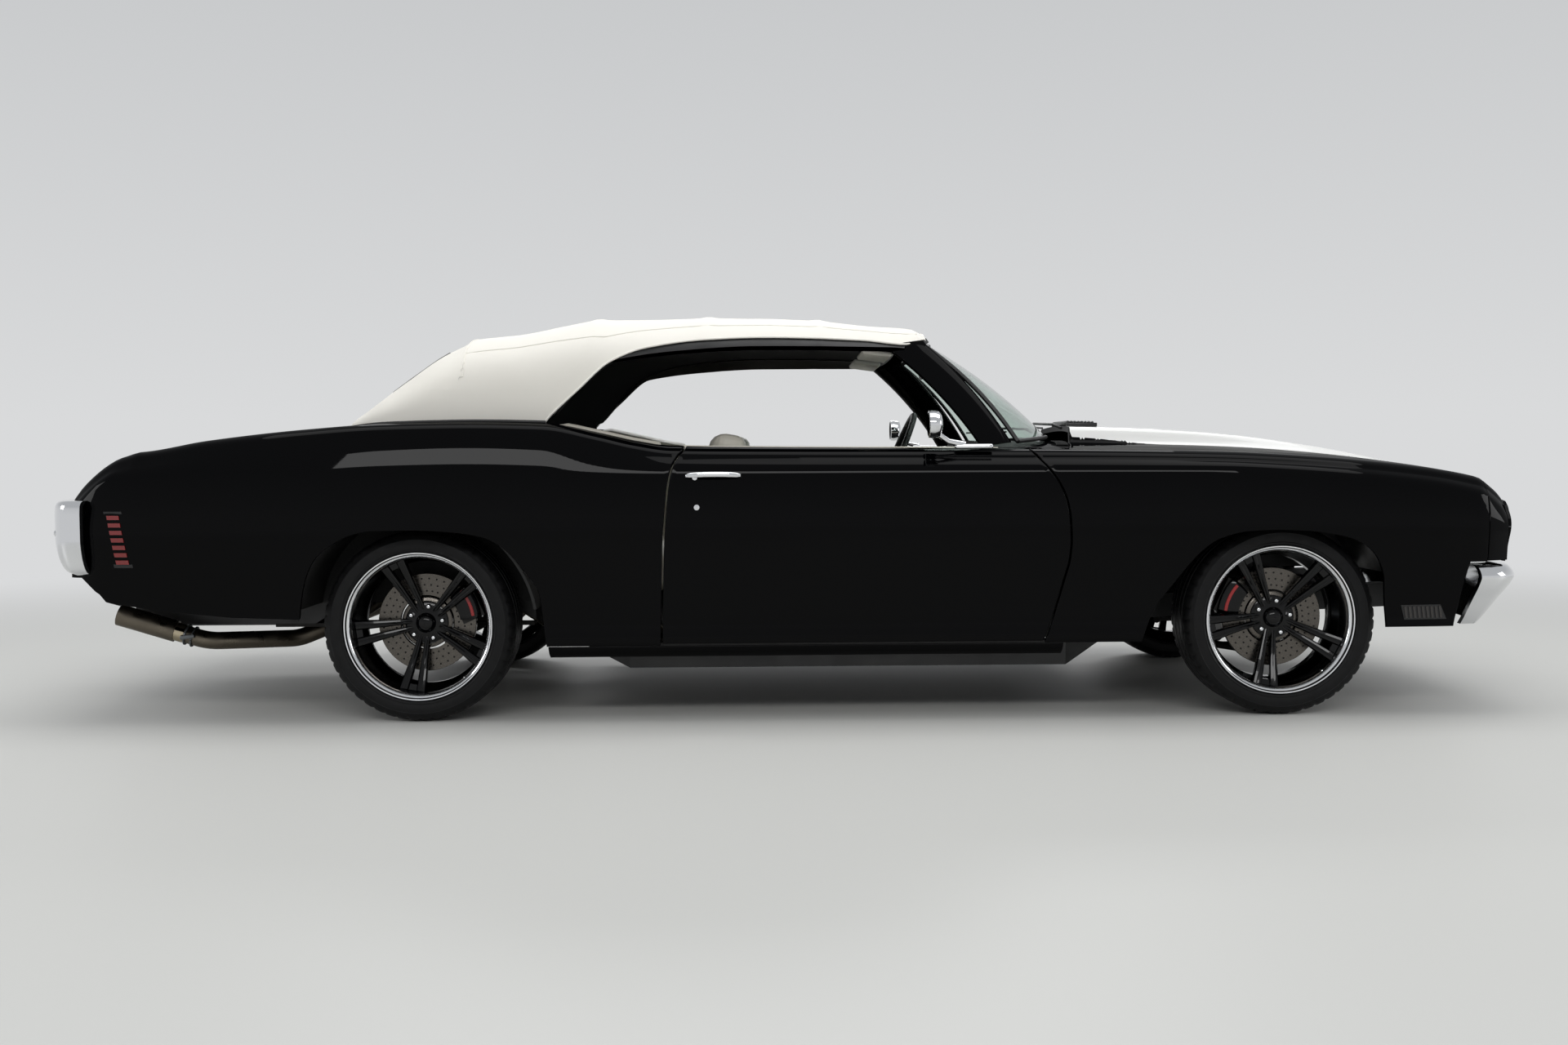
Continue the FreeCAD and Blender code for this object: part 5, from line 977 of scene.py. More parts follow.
def spoke_parts(x, dish):
    """Five pairs of twin spokes that rise from the hub to the rim."""
    parts = []
    # Radius, front face's depth from the dish, half width, and offset from the pair's middle.
    run = ((0.036, 0.002, 0.0085, 0.0110), (0.060, -0.004, 0.0090, 0.0130), (0.095, -0.014, 0.0105, 0.0160),
           (0.130, -0.024, 0.0120, 0.0190), (0.165, -0.036, 0.0138, 0.0225), (0.195, -0.048, 0.0152, 0.0260),
           (0.2225, -0.056, 0.0165, 0.0290))
    for k in range(5):
        angle = PAIR_ANGLE + PAIR_STEP * k
        for side in (-1, 1):
            rings = []
            for r, rise, half, offset in run:
                front = dish + rise
                back = front + (0.024 if r < 0.08 else 0.020)
                ring = [(-half, back), (-half, front + 0.007), (-half * 0.72, front + 0.0015),
                        (-half * 0.28, front), (0, front + 0.0018), (half * 0.28, front),
                        (half * 0.72, front + 0.0015), (half, front + 0.007), (half, back)]
                rings.append([wheel_point(x, r, angle, d, side * offset + u) for u, d in ring])
            parts.append(skinned(rings))
        web = [[wheel_point(x, r, angle, dish + rise + 0.006 + t, u) for u, t in
                ((-0.018, 0.012), (-0.018, 0), (0.018, 0), (0.018, 0.012))]
               for r, rise in ((0.205, -0.050), (0.224, -0.056))]
        parts.append(skinned(web))
    hub = [(0.001, dish - 0.004), (0.030, dish - 0.003), (0.040, dish + 0.000), (0.062, dish + 0.003),
           (0.072, dish + 0.008), (0.074, dish + 0.020), (0.001, dish + 0.020)]
    parts.append(wheel_ring(x, hub, 60))
    cap = [(0.001, dish - 0.026), (0.012, dish - 0.025), (0.022, dish - 0.021), (0.030, dish - 0.013),
           (0.034, dish - 0.004), (0.034, dish + 0.004), (0.001, dish + 0.004)]
    parts.append(wheel_ring(x, cap, 48))
    return merge(parts)


def nut_parts(x, dish):
    """Five hexagonal nuts between the spoke pairs, and the tyre's valve."""
    nut = ((0.0095, dish + 0.006), (0.0095, dish - 0.006), (0.0075, dish - 0.011), (0.004, dish - 0.013))
    parts = [knob(x, NUT_CIRCLE, PAIR_ANGLE + PAIR_STEP / 2 + PAIR_STEP * k, nut, 6) for k in range(5)]
    parts.append(knob(x, VALVE_CIRCLE, PAIR_ANGLE + 50, ((0.004, 0.05), (0.004, 0.034), (0.0025, 0.030)), 8))
    return merge(parts)


def tyre_part(x):
    """Tyre with grooved tread, shoulder cuts and ribbed sidewalls."""
    half = [(0.2475, 0.108), (0.2490, 0.1150), (0.2540, 0.1185), (0.2560, 0.1200), (0.2580, 0.1190),
            (0.2660, 0.1205), (0.2760, 0.1215), (0.2860, 0.1205), (0.2875, 0.1214), (0.2905, 0.1204),
            (0.2925, 0.1180), (0.2990, 0.1150), (0.3050, 0.1100), (0.3100, 0.1030), (0.3138, 0.0940),
            (0.3152, 0.0840), (0.3160, 0.0700), (0.3092, 0.0690), (0.3092, 0.0610), (0.3165, 0.0600),
            (0.3168, 0.0300), (0.3095, 0.0290), (0.3095, 0.0210), (0.3169, 0.0200), (0.3170, 0.0)]
    profile = half + [(r, -w) for r, w in half[-2::-1]]
    profile += [(0.2475, -0.09), (0.2475, 0.09)]
    count = 240
    cut_every, cut_depth, cut_side, cut_radius = 5, 0.0045, 0.0705, 0.3045
    verts, faces = wheel_ring(x, [(r, RIM_OUTER - WHEEL_TRACK - w) for r, w in profile], count)
    for k in range(0, count, cut_every):
        for i, (r, w) in enumerate(profile):
            if abs(w) > cut_side and r > cut_radius:
                verts[k * len(profile) + i] = wheel_point(x, r - cut_depth, 360 * k / count,
                                                          RIM_OUTER - WHEEL_TRACK - w)
    return verts, faces


def disc_parts(x, dish):
    """Brake disc with its hat, and the drillings in its face drawn as thin discs of painted shade."""
    face = dish + HUB_WALL
    ring = wheel_ring(x, [(0.092, face + 0.001), (0.164, face + 0.001), (DISC_RADIUS, face + 0.003),
                          (DISC_RADIUS, face + 0.021), (0.164, face + 0.023), (0.092, face + 0.023)], 96)
    hat = wheel_ring(x, [(0.030, face - 0.004), (0.080, face - 0.004), (0.086, face), (0.086, face + 0.020),
                         (0.030, face + 0.020)], 60)
    # Each drilling is a thin disc of painted shade that stands for the dark inside of the hole.
    drilling = ((0.0032, face + 0.002), (0.0032, face + 0.0004))
    holes = [knob(x, 0.106 + 0.021 * row, k * 10 + 3.4 * row, drilling, 8)
             for k in range(36) for row in range(3)]
    return merge([ring, hat]), merge(holes)


def caliper_parts(x, dish, angle):
    """Caliper cover over the disc's edge, and a plain red strip on it."""
    face = dish + HUB_WALL
    rings, strip = [], []
    for k in range(13):
        a = angle - 21 + 42 * k / 12
        edge = 0.004 if k in (0, 12) else 0
        rings.append([wheel_point(x, r, a, d + edge) for r, d in (
            (0.112 + edge, face - 0.001), (0.114, face - 0.014), (0.126, face - 0.0185),
            (0.168, face - 0.0185), (0.182, face - 0.012), (0.186 - edge, face + 0.004),
            (0.186 - edge, face + 0.030), (0.176, face + 0.034), (0.170, face + 0.030),
            (0.170, face - 0.001))])
    for k in range(11):
        a = angle - 17 + 34 * k / 10
        strip.append([wheel_point(x, r, a, d) for r, d in ((0.154, face - 0.0186), (0.155, face - 0.0198),
                                                           (0.164, face - 0.0198), (0.165, face - 0.0186))])
    return skinned(rings), skinned(strip)


for end, x, dish, angle, holder in (("front_", FRONT_AXLE, 0.095, 155, "knuckle_"),
                                    ("rear_", REAR_AXLE, 0.132, 25, "car_body")):
    wheel = "wheel_" + end
    lip, barrel = rim_parts(x, dish)
    disc, drillings = disc_parts(x, dish)
    cover, strip = caliper_parts(x, dish, angle)
    both("rim_lip_" + end, lip, POLISHED, wheel)
    both("rim_barrel_" + end, barrel, DARK_BARREL, wheel)
    both("twin_spokes_" + end, spoke_parts(x, dish), SPOKE_BLACK, wheel, wheel, sharp=30)
    both("lug_nuts_" + end, nut_parts(x, dish), CHROME, wheel)
    both("brake_disc_" + end, disc, DISC_STEEL, wheel)
    # The drillings carry painted shade: black discs for the dark inside of the holes.
    both("disc_drillings_" + end, drillings, PAINTED_SHADE_BLACK, wheel)
    both("tread_and_sidewall_" + end, tyre_part(x), RUBBER, wheel, "tyre_" + end, sharp=35)
    both("caliper_cover_" + end, cover, SPOKE_BLACK, holder)
    both("caliper_strip_" + end, strip, RED_ENAMEL, holder)


# Bumpers. A plan is (distance from the middle, place) and a profile is (height, offset out of the plan line).
END_HALF = 0.5  # up to here outward is along the car
INNER_SHRINK, INNER_LIFT = 0.994, 0.0035  # the inner face is a little lower than the outer one
VALANCE_HALF = 0.86
VALANCE = ((-0.085, 0.500), (-0.110, 0.455), (-0.150, 0.412), (-0.195, 0.395), (-0.195, 0.385),
           (-0.150, 0.400), (-0.118, 0.450), (-0.100, 0.500))


def plan_run(plan, count=64):
    """Points and outward directions along a bumper's plan, from the right side round to the left."""
    side = [(x, y) for y, x in smooth_points(plan, count + 1)]
    points = [(x, -y) for x, y in side[::-1]] + side[1:]
    sign = 1 if plan[0][1] > 0 else -1
    made = []
    for i, (x, y) in enumerate(points):
        a, b = points[max(i - 1, 0)], points[min(i + 1, len(points) - 1)]
        dx, dy = b[0] - a[0], b[1] - a[1]
        size = math.hypot(dx, dy)
        out = Vector((dy / size, -dx / size, 0))
        if out.x * sign < 0 and abs(y) < END_HALF:
            out = -out
        if i and out.dot(made[-1][1]) < 0:
            out = -out
        made.append((Vector((x, y, 0)), out))
    return made


def beside(p, out, d, z):
    """Point at a distance out of a bumper's plan line and at a height."""
    return p + out * d + Vector((0, 0, z))


def bumper(plan, profile, wall):
    """Pressed bumper carried round a plan."""
    run = plan_run(plan)
    if run[len(run) // 2][1].x * plan[0][1] < 0:
        run = [(p, -out) for p, out in run]
    outer = smooth_points(profile, 40)
    back = smooth_points([(z * INNER_SHRINK + INNER_LIFT, d) for z, d in profile], 14)
    inner = [(z, d - wall) for z, d in back[::-1]]
    return skinned([[beside(p, out, d, z) for z, d in outer + inner] for p, out in run])


REAR_PLAN = ((0.0, -2.5040), (0.30, -2.4970), (0.60, -2.4680), (0.78, -2.4375), (0.87, -2.4050),
             (0.918, -2.360), (0.930, -2.300))
REAR_PROFILE = ((0.742, -0.045), (0.741, -0.022), (0.735, -0.009), (0.722, -0.002), (0.690, 0.0),
                (0.615, 0.0), (0.570, -0.006), (0.532, -0.018), (0.510, -0.032), (0.498, -0.052),
                (0.490, -0.078))
FRONT_PLAN = ((0.0, 2.5040), (0.30, 2.4970), (0.60, 2.4680), (0.72, 2.4405), (0.85, 2.390), (0.908, 2.325),
              (0.924, 2.255))
FRONT_PROFILE = ((0.497, -0.070), (0.494, -0.032), (0.480, -0.011), (0.456, 0.0), (0.436, -0.009),
                 (0.380, -0.050), (0.309, -0.103), (0.293, -0.117))
BUMPER_WALL = 0.018
make("rear_bumper_bar", *bumper(REAR_PLAN, REAR_PROFILE, BUMPER_WALL), CHROME, "car_body",
     replaces="rear_bumper")
make("front_bumper_bar", *bumper(FRONT_PLAN, FRONT_PROFILE, BUMPER_WALL), CHROME, "car_body",
     replaces="front_bumper")


def bumper_patch(plan, profile, y0, y1, z0, z1, proud, depth, count=14):
    """A piece that lies along a bumper, between two distances from the centre and two heights."""
    table = sorted(profile)
    run = [(p, out) for p, out in plan_run(plan, 160) if y0 <= p.y <= y1]
    rings = []
    for p, out in run[::max(1, len(run) // count)]:
        if out.x * plan[0][1] < 0:
            out = -out
        front = [(z, follow(table, z) + proud) for z in (z0, (z0 + z1) / 2, z1)]
        back = [(z, d - depth) for z, d in front[::-1]]
        rings.append([beside(p, out, d, z) for z, d in front + back])
    return skinned(rings)


LAMP_INNER, LAMP_OUTER = 0.470, 0.770
lamps, bezels, bars = [], [], []
for a, b in ((-LAMP_OUTER, -LAMP_INNER), (LAMP_INNER, LAMP_OUTER)):
    lamps.append(bumper_patch(REAR_PLAN, REAR_PROFILE, a, b, 0.575, 0.642, 0.002, 0.012))
    bezels.append(bumper_patch(REAR_PLAN, REAR_PROFILE, a - 0.012, b + 0.012, 0.565, 0.652, 0.0006, 0.010))
    for k in range(4):
        z = 0.590 + 0.0125 * k
        bars.append(bumper_patch(REAR_PLAN, REAR_PROFILE, a, b, z - 0.0016, z + 0.0016, 0.0034, 0.004))
make("tail_lamp_lenses", *merge(lamps), RED_LENS, "car_body", replaces="tail_lamps")
make("tail_lamp_bezels", *merge(bezels), SATIN_BLACK, "car_body")
make("tail_lamp_ribs", *merge(bars), CHROME, "car_body")
bolts = []
for y in (-0.86, -0.40, 0.40, 0.86):
    x = follow(REAR_PLAN, abs(y))
    bolts.append(turned(((POINT, x - 0.003), (0.007, x - 0.002), (0.010, x + 0.001), (0.010, x + 0.006)), 20,
                        (0, y, 0.635), "X"))
make("rear_bumper_bolts", *merge(bolts), CHROME, "car_body")

rings = []
for p, out in plan_run(REAR_PLAN, 40):
    out = out if out.x < 0 else -out
    if abs(p.y) <= VALANCE_HALF:
        rings.append([beside(p, out, d, z) for d, z in VALANCE])
make("rear_valance", *skinned(rings), BLACK_PAINT, "car_body")


# Soft top. Lines are (place, height or half width) in metres.
TOP_REAR, TOP_FRONT = -1.5515, 0.476
EDGE_REAR = -0.812
REAR_BOW = -1.085
TOP_LINE = ((-1.5515, 1.003), (-1.456, 1.063), (-1.307, 1.168), (-1.188, 1.243), (-1.093, 1.283),
            (-1.069, 1.293), (-0.922, 1.310), (-0.774, 1.338), (-0.656, 1.356), (-0.274, 1.362),
            (-0.097, 1.362), (0.109, 1.350), (0.285, 1.334), (0.432, 1.321), (0.476, 1.300))
TOP_HALF = ((-1.5515, 0.420), (-1.50, 0.560), (-1.35, 0.705), (-1.10, 0.765), (-0.812, 0.775), (-0.5, 0.762),
            (0.0, 0.738), (0.476, 0.664))
TOP_SQUARENESS = ((-1.5515, 2.3), (-1.35, 3.0), (-0.95, 4.6), (0.5, 5.0))
FABRIC_EDGE = ((-0.812, 0.989), (-0.790, 1.012), (-0.695, 1.100), (-0.594, 1.190), (-0.474, 1.237),
               (-0.290, 1.263), (-0.086, 1.271), (0.263, 1.261), (0.360, 1.250), (0.398, 1.247),
               (0.430, 1.252), (0.476, 1.263))
OPENING_LINE = ((-0.796, 0.990), (-0.610, 1.178), (-0.560, 1.196), (-0.36, 1.223), (-0.105, 1.237),
                (0.34, 1.234), (0.44, 1.228))
BOWS = (REAR_BOW, -0.655, -0.275, 0.110)
HEADER_BOW = 0.46
RIDGE, RIDGE_WIDTH, SLACK = 0.0045, 0.022, 0.0035
EVENING = 2.2  # spreads the points of a section towards its foot
LEAST_RISE = 0.004


def top_foot(x):
    """Height of the body under the fabric's foot."""
    return plan_point(x, follow(TOP_HALF, x)).z + 0.002


def top_sag(x):
    """Ridges at the bows and a little slack between them."""
    rise = 0.0
    for bow in BOWS:
        rise += RIDGE * math.exp(-((x - bow) / RIDGE_WIDTH) ** 2)
    gaps = list(BOWS) + [HEADER_BOW]
    for a, b in zip(gaps, gaps[1:]):
        if a < x < b:
            rise -= SLACK * math.sin(math.pi * (x - a) / (b - a))
    return rise


def top_at(x, turn, inset=0.0):
    """Point of the fabric: turn runs from -1 at the left foot, over the crown, to 1 at the right foot."""
    base = top_foot(x)
    power = 2 / follow(TOP_SQUARENESS, x)
    a = math.pi / 2 * abs(turn) ** EVENING
    rise = max(follow(TOP_LINE, x) - base, LEAST_RISE)
    y = (follow(TOP_HALF, x) - inset) * math.sin(a) ** power
    shape = math.cos(a) ** power if abs(turn) < 1 else 0.0
    z = base + rise * shape + top_sag(x) * shape - inset * shape
    return Vector((x, -y if turn > 0 else y, z))


def turn_of_z(x, z):
    """Where the fabric's section at x comes down to a height."""
    return halved(0.0, 1.0, 22, lambda turn: top_at(x, turn).z > z)


def fabric_edge_turn(x):
    """How far down the fabric reaches at x: to its edge over the window, and to its foot behind it."""
    return turn_of_z(x, follow(FABRIC_EDGE, x)) if x > EDGE_REAR else 1.0


def top_sheet(inset, x0, x1, rows, columns):
    """Single-layer sheet over the bows: verts in rows, and faces."""
    verts, faces = [], []
    for r in range(rows + 1):
        x = x0 + (x1 - x0) * r / rows
        edge = fabric_edge_turn(x)
        for c in range(-columns, columns + 1):
            verts.append(top_at(x, edge * c / columns, inset))
    n = 2 * columns + 1
    for r in range(rows):
        for c in range(n - 1):
            faces.append([r * n + c, (r + 1) * n + c, (r + 1) * n + c + 1, r * n + c + 1])
    return verts, faces


WINDOW_HALF = 0.45
WINDOW_LOW = 1.100
WINDOW_TOP = 1.235
WINDOW_AHEAD = -1.12


def cut_window(mesh, keep_inside, grow):
    """Cut a sheet along the rear window's outline and drop one of the two parts."""
    shape = bmesh.new()
    shape.from_mesh(mesh)
    half = WINDOW_HALF + grow
    low, top = WINDOW_LOW - grow, WINDOW_TOP + grow
    for point, normal in (((0, half, 0), (0, 1, 0)), ((0, -half, 0), (0, 1, 0)), ((0, 0, low), (0, 0, 1)),
                          ((0, 0, top), (0, 0, 1))):
        region = [f for f in shape.faces if f.calc_center_median().x < WINDOW_AHEAD]
        parts = set(region)
        for f in region:
            parts.update(f.edges)
            parts.update(f.verts)
        bmesh.ops.bisect_plane(shape, geom=list(parts), plane_co=point, plane_no=normal)
    drop = []
    for f in shape.faces:
        c = f.calc_center_median()
        within = abs(c.y) < half and low < c.z < top and c.x < WINDOW_AHEAD
        if within != keep_inside:
            drop.append(f)
    bmesh.ops.delete(shape, geom=drop, context="FACES")
    shape.to_mesh(mesh)
    shape.free()


def run_length(points):
    """Length of a line of points."""
    return sum((b - a).length for a, b in zip(points, points[1:]))


ROWS, COLUMNS = 112, 44


def cloth(name, inset, look, grow, x0, x1):
    """A cloth sheet over the bows with a hole for the rear window. Returns it, its flat width and length."""
    verts, faces = top_sheet(inset, x0, x1, ROWS, COLUMNS)
    n = 2 * COLUMNS + 1
    wide = max(run_length(verts[r * n:(r + 1) * n]) for r in range(ROWS + 1))
    long = max(run_length([verts[r * n + c] for r in range(ROWS + 1)]) for c in range(0, n, 4))
    made = make(name, verts, faces, look, "car_body", sharp=60)
    cut_window(made.data, False, grow)
    made.data.polygons.foreach_set("use_smooth", [True] * len(made.data.polygons))
    return made, wide, long


roof, wide, long = cloth("white_fabric_top", 0.0, CANVAS, 0.0, TOP_REAR, TOP_FRONT)
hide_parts("soft_top")
lining, lining_wide, lining_long = cloth("dark_headlining", 0.016, LINING, -0.004, -1.52, 0.46)

window = make("rear_window_pane", *top_sheet(0.006, TOP_REAR, -1.10, 60, 60), GLASS, "car_body",
              replaces="rear_window", sharp=60)
cut_window(window.data, True, 0.012)
window.data.polygons.foreach_set("use_smooth", [True] * len(window.data.polygons))


def window_edge():
    """Points round the rear window on the fabric."""
    half, low, top = WINDOW_HALF, WINDOW_LOW, WINDOW_TOP

    def at(y, z):
        """Point of the fabric at a distance from the middle and a height, found by halving."""
        a, b = -1.55, -1.08
        for _ in range(30):
            x = (a + b) / 2
            lo, hi = 0.0, 1.0
            for _ in range(18):
                t = (lo + hi) / 2
                if -top_at(x, t).y < abs(y):
                    lo = t
                else:
                    hi = t
            if top_at(x, lo).z < z:
                a = x
            else:
                b = x
        point = top_at((a + b) / 2, lo)
        return Vector((point.x, y, point.z))

    loop = [at(-half + 2 * half * k / 30, low) for k in range(30)]
    loop += [at(half, low + (top - low) * k / 6) for k in range(6)]
    loop += [at(half - 2 * half * k / 30, top) for k in range(30)]
    loop += [at(-half, top - (top - low) * k / 6) for k in range(7)]
    return loop


make("rear_window_seal", *tube(window_edge(), 0.006, 8), SEAL, "car_body")

HEM_RADIUS = 0.0035
HEM_FRONT = 0.470
edge_run = []
for k in range(61):
    x = HEM_FRONT + (EDGE_REAR - HEM_FRONT) * k / 60
    edge_run.append(top_at(x, fabric_edge_turn(x)))
reach = fabric_edge_turn(0.475)
front_hem = [top_at(0.475, t) for t in np.linspace(-reach, reach, 50)]
hem_parts = [tube(run, HEM_RADIUS, 8) for run in (edge_run, mirrored(edge_run), front_hem)]
hem = make("fabric_hem", *merge(hem_parts), CANVAS, "car_body")

FOOT_FRONT = -0.806
foot = []
for k in range(36):
    x = FOOT_FRONT + (TOP_REAR - FOOT_FRONT) * k / 35
    foot.append(top_at(x, 1.0) + Vector((0, 0, 0.002)))
rear_foot = [top_at(TOP_REAR, t) for t in np.linspace(0.98, -0.98, 30)]
around = foot + [Vector((p.x - 0.004, p.y, foot[-1].z)) for p in rear_foot] + mirrored(foot[::-1])
make("black_foot_moulding", *tube(around, 0.0065, 10), SEAL, "car_body")

seam = [top_at(REAR_BOW, t) + Vector((0, 0, 0.0005)) for t in np.linspace(-0.93, 0.93, 60)]
seam_strip = make("rear_bow_seam", *tube(seam, 0.0028, 6), CANVAS, "car_body")
side_seams = []
for sign in (-1, 1):
    run = []
    for k in range(40):
        x = REAR_BOW + (0.45 - REAR_BOW) * k / 39
        run.append(top_at(x, sign * min(0.80, fabric_edge_turn(x) * 0.86)) + Vector((0, 0, 0.0004)))
    side_seams.append(tube(run, 0.0022, 6))
    drop = [top_at(x, sign * t)
            for x, t in zip(np.linspace(REAR_BOW, -1.09, 14), np.linspace(0.78, 0.93, 14))]
    side_seams.append(tube(drop, 0.0028, 6))
seam_lines = make("top_side_seams", *merge(side_seams), CANVAS, "car_body")
stud = ((POINT, 0.004), (0.006, 0.003), (0.0085, 0.0))
studs = [turned(stud, 16, top_at(-1.090, sign * 0.935)) for sign in (-1, 1)]
make("bow_fasteners", *merge(studs), CHROME, "car_body")


def rail_at(x, z):
    """Outer face of the side rail, just inside the fabric."""
    t = turn_of_z(x, z)
    here = top_at(x, t, 0.006)
    return Vector((x, here.y if here.y < 0 else -here.y, z))


rail_outline = [(x, follow(FABRIC_EDGE, x) + 0.010) for x in np.linspace(EDGE_REAR, 0.415, 70)]
rail_outline += [(x, follow(OPENING_LINE, x)) for x in np.linspace(0.400, -0.778, 70)]
both_panels("top_rail", panel(rail_at, rail_outline, wall=0.020, step=0.022, turn=-1), SATIN_BLACK, CAR_BODY,
            ("top_side_rails", ()))
strip = []
for k in range(60):
    x = -0.770 + (0.39 + 0.770) * k / 59
    p = rail_at(x, follow(OPENING_LINE, x) + 0.006)
    strip.append(p + Vector((0, 0.010, 0)))
pair("rail_weatherstrip", tube(strip, 0.006, 8), SEAL, "car_body")


# Windshield.
def blend_points(a, b, f):
    """A share of the way from one point to another."""
    return a + (b - a) * f


GLASS_BASE = (Vector((0.772, -0.722, 0.914)), Vector((0.965, 0, 0.930)))
GLASS_TOP = (Vector((0.480, -0.590, 1.238)), Vector((0.522, 0, 1.268)))
GLASS_OUT = Vector((0.67, 0, 0.74))
GLASS_BULGE, GLASS_THICK = 0.022, 0.005
GLASS_HALF = 0.722


def glass_at(s, t, inset=0.0):
    """Windshield surface: s from -1 on the left to 1 on the right, t from the base to the top."""
    base = blend_points(GLASS_BASE[1], GLASS_BASE[0], s * s)
    top = blend_points(GLASS_TOP[1], GLASS_TOP[0], s * s)
    base.y = GLASS_BASE[0].y * s
    top.y = GLASS_TOP[0].y * s
    here = blend_points(base, top, t)
    return here + GLASS_OUT * (GLASS_BULGE * 4 * t * (1 - t) - inset)


across, upward = 24, 12
column = upward + 1
layer = (across + 1) * column
verts = [glass_at(-1 + 2 * i / across, k / upward, inset)
         for inset in (0.0, GLASS_THICK) for i in range(across + 1) for k in range(column)]
faces = []
for start in (0, layer):
    for i in range(across):
        for k in range(upward):
            a = start + i * column + k
            faces.append([a, a + column, a + column + 1, a + 1])
loop = [i * column for i in range(across + 1)] + [across * column + k for k in range(1, column)]
loop += [i * column + upward for i in range(across - 1, -1, -1)] + list(range(upward - 1, 0, -1))
for a, b in zip(loop, loop[1:] + loop[:1]):
    faces.append([a, b, b + layer, a + layer])
make("windshield_pane", verts, faces, GLASS, "car_body", replaces="windshield_glass")
edge = [glass_at(s, 1.0, 0.002) for s in np.linspace(-1, 1, 41)]
base = [glass_at(s, 0.0, 0.001) for s in np.linspace(1, -1, 41)]
sides = [glass_at(1, t, 0.002) for t in np.linspace(1, 0, 20)]
other = [glass_at(-1, t, 0.002) for t in np.linspace(0, 1, 20)]
make("windshield_moulding", *tube(edge + sides + base + other, 0.008, 8), SEAL, "car_body")

FRONT_FOOT, FRONT_HEAD = Vector((0.752, -0.742, 0.912)), Vector((0.470, -0.604, 1.258))
REAR_FOOT, REAR_HEAD = Vector((0.640, -0.758, 0.900)), Vector((0.352, -0.622, 1.222))
PILLAR_BULGE = 0.018
PILLAR_IN = Vector((0, 0.042, -0.004))
# Section of a pillar: share of the way from its front line to its rear line, and of its thickness.
PILLAR_RING = ((0.04, 0.2), (0.0, 0.75), (0.10, 1.0), (0.6, 1.1), (0.94, 0.8), (1.0, 0.3), (0.95, 0.0),
               (0.5, -0.10), (0.14, -0.02))
rings = []
for k in range(13):
    f = k / 12
    bow = GLASS_OUT * PILLAR_BULGE * 4 * f * (1 - f)
    a = blend_points(FRONT_FOOT, FRONT_HEAD, f) + bow
    b = blend_points(REAR_FOOT, REAR_HEAD, f) + bow
    rings.append([blend_points(a, b, share) + PILLAR_IN * deep for share, deep in PILLAR_RING])
pillar = skinned(rings)
header_rings = []
for k in range(31):
    s = -1 + k / 15
    mid = 1 - s * s
    y = 0.612 * s
    front = Vector((0.474 + 0.050 * mid, y, 1.246 + 0.036 * mid))
    back = Vector((0.366 + 0.050 * mid, y, 1.222 + 0.052 * mid))
    header_rings.append([front, front + Vector((-0.010, 0, 0.014)), back + Vector((0.02, 0, 0.030)), back,
                         back + Vector((0.020, 0, -0.010)), front + Vector((-0.014, 0, -0.012))])
header = skinned(header_rings)
make("windshield_surround", *merge([pillar, flipped(pillar), header]), BLACK_PAINT, "car_body",
     replaces="windshield_frame", sharp=50)
visors = rounded_box((0.105, 0.40, 0.018), (0.312, -0.34, 1.223), 0.008, tilt=8)
pair("sun_visors", visors, CANVAS, "car_body")
mirror_head = rounded_box((0.020, 0.24, 0.058), (0.520, 0, 1.185), 0.009)
stalk = tube([(0.535, 0, 1.26), (0.525, 0, 1.20)], 0.006)
make("rear_view_mirror", *merge([mirror_head, stalk]), PLASTIC, "car_body")

# Cowl, wipers and hood vent.
COWL_HALF = 0.735
COWL_FRONT, COWL_BOW = 0.768, 0.192
cowl_outline = [(hood_rear(y) - SHUT_GAP, y) for y in np.linspace(COWL_HALF, -COWL_HALF, 31)]
cowl_outline += [(COWL_FRONT + COWL_BOW * (1 - (y / COWL_HALF) ** 2), y)
                 for y in np.linspace(-COWL_HALF, COWL_HALF, 31)]
cowl = panel(lambda p, q: plan_point(p, q) + Vector((0, 0, 0.001)), cowl_outline, wall=0.006)
panel_piece("cowl_cover", cowl, BLACK_PAINT, "car_body")
# Cowl slots: thin raised boxes of painted shade that stand for the dark openings.
slots = []
for sign in (-1, 1):
    for k in range(18):
        y = sign * (0.20 + 0.024 * k)
        x = hood_rear(y) - 0.036
        slots.append(rounded_box((0.040, 0.012, 0.004), (x, y, plan_point(x, y).z + 0.002), 0.0015, 2))
make("cowl_louvres", *merge(slots), PAINTED_SHADE_BLACK, "car_body")
arms = []
for y0, y1 in ((-0.50, 0.02), (0.14, 0.60)):
    start = Vector((0.955, y0, 0.958))
    end = glass_at(-y1 / GLASS_HALF, 0.10) + Vector((0.012, 0, 0.012))
    arms.append(tube([start, start + Vector((-0.02, 0.05 * (1 if y1 > y0 else -1), 0.014)), end], 0.005, 8))
    a = glass_at(-(y1 - 0.18) / GLASS_HALF, 0.06) + Vector((0.010, 0, 0.009))
    b = glass_at(-(y1 + 0.12) / GLASS_HALF, 0.085) + Vector((0.010, 0, 0.009))
    arms.append(tube([a, b], 0.004, 6))
make("wiper_arms", *merge(arms), SATIN_BLACK, "car_body")

